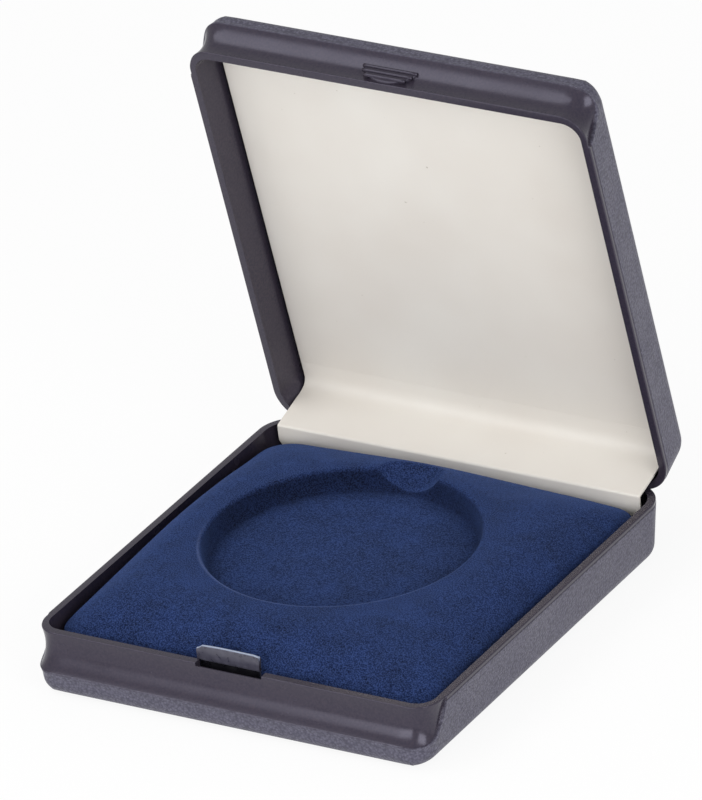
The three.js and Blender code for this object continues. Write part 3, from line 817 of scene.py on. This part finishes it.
# %% [markdown]
# Cloth over foam isn't a clean form. Noise could dent it, but noise knows nothing of how cloth is held,
# so a short cloth simulation with a little pressure inside swells it instead. The foot and the recess's
# floor are glued down, which the pinned points stand for. How far a point may move is capped, so that
# the pad keeps the room it has.

# %% Swell the pad
SWELL_CAP = 0.55 * MM
SWELL_FRAMES = 20
SWELL_PRESSURE = 4.0
CLOTH_TENSION = 20
CLOTH_BENDING = 2
GLUE_ABOVE_FOOT = 0.5 * MM
GLUE_INSIDE = 1.3 * MM
GLUE_NEAR_FLOOR = 0.2 * MM


def point_places(mesh):
    return np.array([v.co[:] for v in mesh.vertices])


def glued_points(mesh):
    places = point_places(mesh)
    out = np.linalg.norm(places[:, :2] - RECESS, axis=1)
    on_floor = (out < RECESS_RADIUS - GLUE_INSIDE) & (abs(places[:, 2] - PAD_FLOOR) < GLUE_NEAR_FLOOR)
    return (places[:, 2] < PAD_FOOT + GLUE_ABOVE_FOOT) | on_floor


def swell(piece, pinned):
    before = point_places(piece.data)
    group = piece.vertex_groups.new(name="glued")
    group.add([int(i) for i in np.nonzero(pinned)[0]], 1.0, "REPLACE")
    cloth = piece.modifiers.new("swell", "CLOTH")
    cloth.settings.use_pressure = True
    cloth.settings.uniform_pressure_force = SWELL_PRESSURE
    cloth.settings.vertex_group_mass = "glued"
    cloth.settings.tension_stiffness = CLOTH_TENSION
    cloth.settings.bending_stiffness = CLOTH_BENDING
    cloth.settings.effector_weights.gravity = 0
    cloth.collision_settings.use_collision = False
    scene = bpy.context.scene
    for number in range(1, SWELL_FRAMES + 1):
        scene.frame_set(number)
    graph = bpy.context.evaluated_depsgraph_get()
    move = point_places(piece.evaluated_get(graph).data) - before
    length = np.maximum(np.linalg.norm(move, axis=1), TINY)
    move *= np.minimum(1, SWELL_CAP / length)[:, None]
    piece.modifiers.remove(cloth)
    piece.vertex_groups.remove(group)
    scene.frame_set(1)
    piece.data.vertices.foreach_set("co", (before + move).ravel())
    print("swelled by up to", round(float(np.linalg.norm(move, axis=1).max()) / MM, 2), "mm")


swell(pad, glued_points(pad.data))

# %% [markdown]
# One subdivision smooths what the simulation left. The modifier could stay live, but the finger scoop
# is pressed into the finer mesh next, so it is applied. The two round end caps have hundreds of sides
# each and would turn into needles, so they come off first and are filled again after.

# %% Subdivide the pad


def subdivide(piece):
    """One smoothing subdivision of the four-sided faces."""
    bm = bmesh.new()
    bm.from_mesh(piece.data)
    caps = [face for face in bm.faces if len(face.verts) > 4]
    bmesh.ops.delete(bm, geom=caps, context="FACES_ONLY")
    bm.to_mesh(piece.data)
    bm.free()
    modifier = piece.modifiers.new("fine", "SUBSURF")
    modifier.levels = modifier.render_levels = 1
    graph = bpy.context.evaluated_depsgraph_get()
    mesh = bpy.data.meshes.new_from_object(piece.evaluated_get(graph))
    piece.modifiers.remove(modifier)
    bm = bmesh.new()
    bm.from_mesh(mesh)
    bmesh.ops.holes_fill(bm, edges=[edge for edge in bm.edges if edge.is_boundary], sides=0)
    bmesh.ops.recalc_face_normals(bm, faces=bm.faces)
    bm.to_mesh(mesh)
    bm.free()
    piece.data = mesh


subdivide(pad)
print("pad", len(pad.data.polygons), "faces")

# %% [markdown]
# At the recess's back the cloth is pressed down for a fingertip, so that the medal can be lifted out. A
# boolean would cut a hard edge into it. Here each point that stands higher than a smooth cup is lowered
# to it, so that the scoop runs out softly into the crown. The painted shade on the recess's wall fades
# where the scoop takes the wall away.

# %% Press in the finger scoop
SCOOP_PLACE = np.array([-2.1, 27.0]) * MM
SCOOP_HALF = 7.3 * MM
SCOOP_LENGTH = 10.5 * MM
SCOOP_FLATNESS = 0.35
SCOOP_TAIL = 1.6
SCOOP_RISE = 0.3 * MM
SCOOP_FADE = 1.2 * MM
SCOOP_FROM = RECESS[1] + 20 * MM
FLOOR_KEPT = 0.1 * MM


def press_scoop(piece):
    places = point_places(piece.data)
    across = np.clip((places[:, 0] - SCOOP_PLACE[0]) / SCOOP_HALF, -1, 1)
    along = np.maximum((places[:, 1] - SCOOP_PLACE[1]) / SCOOP_LENGTH, 0)
    cup = (0.5 + 0.5 * np.cos(math.pi * across)) ** SCOOP_FLATNESS * np.clip(1 - along ** SCOOP_TAIL, 0, 1)
    target = PAD_TOP - (RECESS_DEPTH - SCOOP_RISE) * cup * (places[:, 1] > SCOOP_FROM)
    lower = (places[:, 2] > PAD_FLOOR - FLOOR_KEPT) & (places[:, 2] > target)
    layer = piece.data.attributes[MARK].data
    marks = np.array([entry.value for entry in layer])
    # The painted shade and highlight of the lip and wall fade out where the scoop lowers them.
    marks[lower] *= np.clip(1 - (places[lower, 2] - target[lower]) / SCOOP_FADE, 0, 1)
    layer.foreach_set("value", marks)
    places[lower, 2] = target[lower]
    piece.data.vertices.foreach_set("co", places.ravel())
    piece.data.update()
    print("finger scoop pressed into", int(lower.sum()), "points")


press_scoop(pad)

# %% [markdown]
# Velvet is a short pile. Seen along the pile it is deep blue, and where the pile leans or is seen from
# the side it glows lighter. Hair strands would be the true way, but millions of them are slow and can't
# be written out as a mesh. The shader's sheen gives the glow, broad and small patches stand for brushed
# pile, a speckle as fine as the tufts gives its bite, and the marks paint a highlight on the near lip and
# shade down the recess's wall.

# %% Blue velvet
PATCH = 9 * MM
BRUSHED = 3.2 * MM
BRUSHED_RELIEF = 0.12 * MM
TUFT = 0.3 * MM
TUFT_RELIEF = 0.16 * MM
TUFT_SHARE = 0.45


def velvet():
    material, tree, shader, place = finish(
        "blue_velvet", srgb(36, 55, 110), 0.95, Sheen_Weight=0.35, Sheen_Roughness=0.45,
        Sheen_Tint=srgb(96, 128, 200), Specular_IOR_Level=0.1)
    patches = noise(tree, place, PATCH, 3.0, 0.6)
    brushed = noise(tree, place, BRUSHED, 3.0, 0.6)
    tufts = noise(tree, place, TUFT, 2.0, 0.7)
    lean = maths(tree, "ADD", spread(tree, patches), spread(tree, brushed, 0.0, 0.7))
    ground = blend_colour(tree, ramp(tree, lean, 0.2, 1.5), srgb(7, 13, 36), srgb(28, 45, 90))
    pile = blend_colour(tree, ramp(tree, tufts, 0.4, 0.6), srgb(0, 1, 6), srgb(64, 85, 138))
    colour = blend_colour(tree, TUFT_SHARE, ground, pile)
    mark = point_mark(tree)
    # Painted shade: marks up to 1 darken the far lip, the recess's wall and the floor's edge.
    colour = blend_colour(tree, ramp(tree, mark, 0.0, 1.0, 0.0, 0.55), colour, srgb(4, 6, 16))
    # Painted highlight: marks below 0 lighten the near lip.
    colour = blend_colour(tree, ramp(tree, mark, 0.0, -1.0, 0.0, 0.2), colour, srgb(120, 134, 178))
    feed(tree, shader, Base_Color=colour)
    soft = bump(tree, shader, brushed, BRUSHED_RELIEF, 0.35)
    bump(tree, shader, tufts, TUFT_RELIEF, 0.8, soft)
    return material


pad.data.materials.clear()
pad.data.materials.append(velvet())
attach(pad, "base")
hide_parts("pad_cushion")
print("velvet on", pad.name)

# %% [markdown]
# The lid's lining is a smooth cream board. Its corners are rounded at the lid's front and nearly square
# where the strip meets it, and its face has a soft edge. A bevelled cube would need a radius of its own
# for each of these, so the board is drawn as rings too: an outline that grows over the edge's rounding.

# %% Lid lining
PANEL_DEPTH = 7.5 * MM
PANEL_THICKNESS = 2.2 * MM
PANEL_CORNER = 5 * MM
PANEL_REAR_CORNER = 1.2 * MM
PANEL_REAR = HALF_DEPTH - 5.6 * MM
PANEL_FRONT = -49.35 * MM
PANEL_HALF = 45.5 * MM
PANEL_EDGE = 0.35 * MM
PANEL_CORNER_POINTS = 13
PANEL_EDGE_RINGS = 6


def plate_outline(inset):
    path = []
    for side, end, start in ((1, -1, -90), (1, 1, 0), (-1, 1, 90), (-1, -1, 180)):
        corner = PANEL_CORNER if end < 0 else PANEL_REAR_CORNER
        x = side * (PANEL_HALF - corner)
        y = PANEL_FRONT + corner if end < 0 else PANEL_REAR - corner
        turns = np.radians(start + np.linspace(0, 90, PANEL_CORNER_POINTS))
        radius = corner - inset
        path.append(np.stack([x + radius * np.cos(turns), y + radius * np.sin(turns)], 1))
    return np.concatenate(path)


def lining():
    low = LID_RIM + PANEL_DEPTH
    rings = []
    for turn in np.linspace(0, math.pi / 2, PANEL_EDGE_RINGS):
        outline = plate_outline(PANEL_EDGE * (1 - math.sin(turn)))
        rings.append(flat(outline, low + PANEL_EDGE * (1 - math.cos(turn))))
    rings.append(flat(plate_outline(0), low + PANEL_THICKNESS))
    return ring_mesh("lid_lining", rings)


panel = lining()
panel.data.transform(swing)

# %% [markdown]
# The strip over the hinge is a folded card. It leaves the lining's edge, comes forward over the hinge
# to a crease, and drops behind the pad. It hardly bends along its width, so no cloth simulation is
# needed: one line of points, with its corners eased, is swept to the strip's width. The card thins out
# where it lies on the lining and narrows where it goes down between the pad and the wall.

# %% Line of the hinge strip
STRIP_FOOT = 9 * MM
# In the lid: the distance in from its rear face, and the height over its rim when shut.
STRIP_IN_LID = ((11 * MM, 7.485 * MM), (5.0 * MM, 7.3 * MM), (4.4 * MM, -6.4 * MM))
# In the base: the distance in from its rear wall, and the depth below its rim.
STRIP_IN_BASE = ((4.85 * MM, 2.6 * MM), (2.83 * MM, STRIP_FOOT))
STRIP_BENDS = (3.2 * MM, 0.35 * MM, 1.2 * MM)
BEND_STEPS = 14


def lid_place(along, above):
    """A place in the open lid: distance in from its rear face and height over its rim when shut."""
    shut = Vector((0, HALF_DEPTH - along, LID_RIM + above))
    return swing @ shut


def rounded_line(corners, radii):
    """A line through corner points, with each inner corner eased to a small curve."""
    path = [corners[0]]
    for before, here, after, radius in zip(corners, corners[1:], corners[2:], radii):
        a = here + (before - here).normalized() * radius
        b = here + (after - here).normalized() * radius
        for k in range(BEND_STEPS + 1):
            t = k / BEND_STEPS
            path.append(a * (1 - t) ** 2 + here * 2 * t * (1 - t) + b * t ** 2)
    path.append(corners[-1])
    return path


rear_wall = HALF_DEPTH - WALL
corners = [lid_place(*place) for place in STRIP_IN_LID]
corners += [Vector((0, rear_wall - inward, BASE_HEIGHT - down)) for inward, down in STRIP_IN_BASE]
strip_line = rounded_line(corners, STRIP_BENDS)
print("strip's line has", len(strip_line), "points")

# %% [markdown]
# The sweep gives each point of the line a ring across the strip, out along one face and back along the
# other. A curve with a bevel shape could sweep it too, but it couldn't change thickness and width by
# two different rules.

# %% Hinge strip
STRIP_HALF = 45.1 * MM
STRIP_TAPER = 2.4 * MM
STRIP_THICK = 0.4 * MM
STRIP_POINTS = 25
TAPER_START = 3 * MM
THIN_SHARE = 0.04
THIN_FROM = 6
THIN_RUN = 8


def strip(line):
    bm = bmesh.new()
    rows = []
    for k, here in enumerate(line):
        before, after = line[max(k - 1, 0)], line[min(k + 1, len(line) - 1)]
        way = (after - before).normalized()
        thin = THIN_SHARE + (1 - THIN_SHARE) * smooth_step((k - THIN_FROM) / THIN_RUN)
        side = Vector((0, -way.z, way.y)) * STRIP_THICK / 2 * thin
        sunk = max(0, (BASE_HEIGHT - TAPER_START - here.z) / (STRIP_FOOT - TAPER_START))
        half = STRIP_HALF - STRIP_TAPER * sunk
        row = []
        for face in (1, -1):
            for x in np.linspace(-half, half, STRIP_POINTS)[::face]:
                row.append(bm.verts.new(here + side * face + Vector((x, 0, 0))))
        rows.append(row)
    count = len(rows[0])
    for low, high in zip(rows, rows[1:]):
        for i in range(count):
            j = (i + 1) % count
            bm.faces.new((low[i], high[i], high[j], low[j]))
    bm.faces.new(rows[0])
    bm.faces.new(list(reversed(rows[-1])))
    bmesh.ops.recalc_face_normals(bm, faces=bm.faces)
    return finish_mesh("hinge_strip", bm)


cover = strip(strip_line)

# %% [markdown]
# The cream board is warm white and nearly flat. A plain colour would look like paint, so it has the
# faint waviness of a coated card, a fine fibre and a few specks. The lining rides on the lid, and the
# strip stays fixed as it stands open.

# %% Cream board
CLOUD = 30 * MM
CLOUD_RELIEF = 0.25 * MM
FIBRE = 0.8 * MM
FIBRE_RELIEF = 0.01 * MM
SPECK = 1.4 * MM


def cream_board():
    material, tree, shader, place = finish("cream_board", srgb(226, 221, 213), 0.5, Specular_IOR_Level=0.35)
    cloud = noise(tree, place, CLOUD, 2.0)
    ground = blend_colour(tree, spread(tree, cloud), srgb(222, 216, 208), srgb(229, 225, 218))
    speck = ramp(tree, noise(tree, place, SPECK, 1.0), 0.80, 0.84)
    feed(tree, shader, Base_Color=blend_colour(tree, speck, ground, srgb(190, 183, 172)))
    wave = bump(tree, shader, cloud, CLOUD_RELIEF, 0.4)
    bump(tree, shader, noise(tree, place, FIBRE, 3.0), FIBRE_RELIEF, 0.5, wave)
    return material


cream = cream_board()
for piece in (panel, cover):
    piece.data.materials.append(cream)
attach(panel, "lid")
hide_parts("lid_panel")
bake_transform(cover)
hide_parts("hinge_cover")
print("cream board on", panel.name, "and", cover.name)

# %% [markdown]
# The snap tongue is a small moulded tab that stands in the front notch, a little left of the middle.
# Its head overhangs a neck that is set back, its upper corners fall off, more on the left, and two
# small ears stick out at the ends. A cube with bevels would give the head but not the uneven ends, so
# the profile is repeated along the width and changed towards the ends. The marks are 1 on the top edge,
# which catches the light, and -1 in the neck, which lies in the head's shadow.

# %% Snap tongue
TONGUE_HALF = 7.2 * MM
TONGUE_SHIFT = -1.3 * MM
TONGUE_TOP = BASE_HEIGHT + 3.2 * MM
TONGUE_FACE = -49.65 * MM
TONGUE_THICK = 0.7 * MM
TONGUE_LIP = TONGUE_TOP - 3.7 * MM
TONGUE_NECK = TONGUE_FACE + 0.55 * MM
NECK_FOOT = BASE_HEIGHT - 3 * MM
NECK_STEP = 0.4 * MM
TONGUE_LOW = 6 * MM
TONGUE_RINGS = 33
EASE = 0.3 * MM
LIP_EASE = 0.15 * MM
TOP_EASE = (0.2 * MM, 0.25 * MM)
TOP_SHARE = 0.8
HEAD_UNDER = 0.1 * MM
TOP_BAND = 0.5 * MM
CORNER_FALL = 0.75 * MM
CORNER_FROM = 0.86
BOW = 0.25 * MM
RIGHT_FALL = 0.25
EAR = 0.45 * MM
EAR_FROM = 0.9


def tongue_profile():
    """The tongue's outline in Y and height, from its top front edge down, round and up its back."""
    front = [(TONGUE_FACE, TONGUE_TOP - TOP_EASE[1]), (TONGUE_FACE, TONGUE_LIP + EASE),
             (TONGUE_FACE + LIP_EASE, TONGUE_LIP), (TONGUE_NECK, TONGUE_LIP - EASE),
             (TONGUE_NECK, NECK_FOOT), (TONGUE_FACE, NECK_FOOT - NECK_STEP),
             (TONGUE_FACE, TONGUE_LOW)]
    back = [(y + TONGUE_THICK, z) for y, z in reversed(front)]
    back[-1] = (TONGUE_FACE + TONGUE_THICK + EASE, TONGUE_TOP - EASE)
    top = [(TONGUE_FACE + TONGUE_THICK * TOP_SHARE, TONGUE_TOP), (TONGUE_FACE + TOP_EASE[0], TONGUE_TOP)]
    marks = [0.0] * len(front + back) + [1.0, 1.0]
    marks[3] = marks[4] = -1.0
    return front + back + top, marks


def tongue():
    profile, marks = tongue_profile()
    rings = []
    for x in np.linspace(-TONGUE_HALF, TONGUE_HALF, TONGUE_RINGS):
        share = abs(x) / TONGUE_HALF
        fall = CORNER_FALL * smooth_step((share - CORNER_FROM) / (1 - CORNER_FROM)) + BOW * share ** 2
        fall *= 1 if x < 0 else RIGHT_FALL
        ear = EAR * smooth_step((share - EAR_FROM) / (1 - EAR_FROM))
        ring = []
        for y, z in profile:
            out = math.copysign(ear, x) if z > TONGUE_LIP - HEAD_UNDER else 0
            down = fall if z > TONGUE_TOP - TOP_BAND else 0
            ring.append((x + out + TONGUE_SHIFT, y, z - down))
        rings.append(ring)
    piece = ring_mesh("snap_tongue", rings, [marks] * len(rings))
    bm = bmesh.new()
    bm.from_mesh(piece.data)
    bmesh.ops.recalc_face_normals(bm, faces=bm.faces)
    bm.to_mesh(piece.data)
    bm.free()
    return piece


catch = tongue()

# %% [markdown]
# The tongue is smooth plastic, bluer and glossier than the shells, and scuffed by use. The bright top
# edge and the dark neck are too narrow for the lamps alone to show, so the marks help them along. Two
# materials on one piece would do it as well, but with a hard border that the real one doesn't have.

# %% Tongue's plastic
SCUFF = 1.6 * MM
SCUFF_RELIEF = 0.03 * MM


def tongue_plastic():
    material, tree, shader, place = finish("tongue_plastic", srgb(92, 96, 112), 0.3)
    scuff = noise(tree, place, SCUFF, 2.0, 0.5)
    mark = point_mark(tree)
    colour = blend_colour(tree, spread(tree, scuff), srgb(60, 59, 72), srgb(80, 79, 93))
    colour = blend_colour(tree, ramp(tree, mark, 0.3, 1.0, 0.0, 0.8), colour, srgb(176, 188, 212))
    colour = blend_colour(tree, ramp(tree, mark, 0.0, -0.6, 0.0, 0.95), colour, srgb(10, 10, 14))
    feed(tree, shader, Base_Color=colour, Roughness=spread(tree, scuff, 0.24, 0.42))
    bump(tree, shader, scuff, SCUFF_RELIEF, 0.4)
    return material


catch.data.materials.append(tongue_plastic())
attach(catch, "base")
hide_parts("catch_tongue")
print("tongue's plastic on", catch.name)

# %% [markdown]
# The hidden parts, the leaves, the pin, the spring, the rivets and the board under the pad, keep the
# construction's meshes: nobody sees them closely, so drawing them again would gain nothing. The metal is
# plain steel with fine drawing marks along X, which is noise stretched to lines, and the board is grey
# card.

# %% Steel and card
DRAWN_LINE = 0.12 * MM
DRAWN_STRETCH = 0.06
DRAWN_RELIEF = 0.01 * MM
CARD_FIBRE = 0.6 * MM
CARD_RELIEF = 0.04 * MM
STEEL_NODES = ("hinge_leaf", "hinge_pin", "torsion", "base_rivet", "lid_rivet")


def drawn_steel():
    material, tree, shader, place = finish("drawn_steel", srgb(150, 150, 156), 0.34, Metallic=1.0)
    mapping = {"Vector": place, "Scale": (DRAWN_STRETCH, 1.0, 1.0)}
    lines = noise(tree, add_node(tree, "ShaderNodeMapping", mapping).outputs[0], DRAWN_LINE, 2.0)
    colour = blend_colour(tree, spread(tree, lines), srgb(132, 132, 138), srgb(168, 168, 174))
    feed(tree, shader, Base_Color=colour, Roughness=spread(tree, lines, 0.26, 0.44))
    bump(tree, shader, lines, DRAWN_RELIEF, 0.5)
    return material


def grey_card():
    material, tree, shader, place = finish("grey_card", srgb(140, 138, 132), 0.9)
    fibre = noise(tree, place, CARD_FIBRE, 4.0, 0.6)
    feed(tree, shader,
         Base_Color=blend_colour(tree, spread(tree, fibre), srgb(122, 120, 114), srgb(156, 153, 146)))
    bump(tree, shader, fibre, CARD_RELIEF, 0.6)
    return material


steel = drawn_steel()
card = grey_card()
for name, node in frame["nodes"].items():
    if name.startswith((*STEEL_NODES, "pad_board")):
        node.data.materials.clear()
        node.data.materials.append(card if name == "pad_board" else steel)
print("steel on", sum(1 for n in frame["nodes"].values() if n.data.materials[0] == steel), "nodes")

# %% [markdown]
# The floor is a pale table that reads as white and still takes the box's shadow. A shadow catcher gives
# a clean cut-out, but then no light comes back up from the table. So the floor is plain diffuse white
# for the light that falls on it, and mostly a white glow where the camera or a reflection sees it.

# %% Floor
FLOOR_SIZE = 1.6
FLOOR_WHITE = 0.93
FLOOR_SEEN = 0.9
FLOOR_DROP = 0.2 * MM


def pale_floor():
    half = FLOOR_SIZE / 2
    mesh = bpy.data.meshes.new("floor")
    corners = [(-half, -half, 0), (half, -half, 0), (half, half, 0), (-half, half, 0)]
    mesh.from_pydata(corners, [], [(0, 1, 2, 3)])
    material = bpy.data.materials.new("pale_floor")
    material.use_nodes = True
    tree = material.node_tree
    tree.nodes.remove(tree.nodes["Principled BSDF"])
    white = (FLOOR_WHITE, FLOOR_WHITE, FLOOR_WHITE, 1)
    diffuse = add_node(tree, "ShaderNodeBsdfDiffuse", {"Color": white}).outputs[0]
    glow = add_node(tree, "ShaderNodeEmission", {"Color": (1, 1, 1, 1), "Strength": 1.0}).outputs[0]
    path = add_node(tree, "ShaderNodeLightPath").outputs
    seen = maths(tree, "MAXIMUM", path["Is Camera Ray"], path["Is Glossy Ray"])
    seen = maths(tree, "MAXIMUM", seen, path["Is Transmission Ray"])
    share = maths(tree, "MULTIPLY", seen, FLOOR_SEEN)
    mixed = add_node(tree, "ShaderNodeMixShader", {0: share, 1: diffuse, 2: glow}).outputs[0]
    tree.links.new(mixed, tree.nodes["Material Output"].inputs["Surface"])
    mesh.materials.append(material)
    return link_object("floor", mesh)


floor = pale_floor()
floor.location.z = -FLOOR_DROP
print("floor", FLOOR_SIZE, "m wide")

# %% [markdown]
# Product pictures of dark glossy boxes are lit softly from all round. A sky picture could do that, but
# a plain white world is even and repeatable: it lights at a set level and looks white to the camera.
# Three wide lamps add direction, so that the pad and the panel stay even and the hollow front takes
# long soft reflections.

# %% World and lamps
WORLD_LEVEL = 0.60


def light_world():
    world = bpy.data.worlds.new("studio")
    bpy.context.scene.world = world
    world.use_nodes = True
    tree = world.node_tree
    background = tree.nodes["Background"]
    camera_ray = add_node(tree, "ShaderNodeLightPath").outputs["Is Camera Ray"]
    background.inputs["Color"].default_value = (1, 1, 1, 1)
    feed(tree, background, Strength=ramp(tree, camera_ray, 0.0, 1.0, WORLD_LEVEL, 1.0))


def lamp(name, place, target, size, power):
    data = bpy.data.lights.new(name, "AREA")
    data.shape = "RECTANGLE"
    data.size, data.size_y = size
    data.energy = power
    holder = link_object(name, data)
    holder.location = place
    holder.rotation_euler = (Vector(target) - Vector(place)).to_track_quat("-Z", "Y").to_euler()
    print("lamp", name, power, "W")


light_world()
lamp("key", (-0.45, -0.25, 0.75), (0, 0, 0.02), (0.5, 0.5), 2.0)
lamp("front", (-0.15, -1.0, 0.35), (0, 0.05, 0.05), (0.7, 0.4), 3.2)
lamp("fill", (0.7, -0.4, 0.35), (0, 0, 0.03), (0.5, 0.4), 2.8)

# %% [markdown]
# The camera stands far off with a long lens, as the picture's nearly parallel edges show, turned to the
# right of the front, looking down, and rolled a little. It could aim at a target with a constraint, but
# a roll and a small shift are easier to hold when the view is built from its own right, up and back.

# %% Camera
AZIMUTH = math.radians(32.72)
ELEVATION = math.radians(27.64)
ROLL = math.radians(-5.50)
CAMERA_SHIFT = Vector((1.39, -46.04)) * MM
CAMERA_DISTANCE = 2541 * MM
CAMERA_REACH = 10
SENSOR = 36.0
FOCAL_PIXELS = 11904
PICTURE_HEIGHT = 800


def camera():
    level = math.cos(ELEVATION)
    back = Vector((math.sin(AZIMUTH) * level, -math.cos(AZIMUTH) * level, math.sin(ELEVATION)))
    level_right = (-back).cross(Vector((0, 0, 1))).normalized()
    level_up = level_right.cross(-back)
    right = level_right * math.cos(ROLL) + level_up * math.sin(ROLL)
    up = level_up * math.cos(ROLL) - level_right * math.sin(ROLL)
    data = bpy.data.cameras.new("camera")
    data.sensor_width = SENSOR
    data.lens = FOCAL_PIXELS * SENSOR / PICTURE_HEIGHT
    data.clip_end = CAMERA_REACH
    holder = link_object("camera", data)
    turn = Matrix((right, up, back)).transposed().to_4x4()
    place = -CAMERA_SHIFT.x * right - CAMERA_SHIFT.y * up + CAMERA_DISTANCE * back
    holder.matrix_world = Matrix.Translation(place) @ turn
    bpy.context.scene.camera = holder
    print("camera", round(place.length, 2), "m off, lens", round(data.lens), "mm")


camera()
bpy.context.scene.view_settings.view_transform = "Standard"
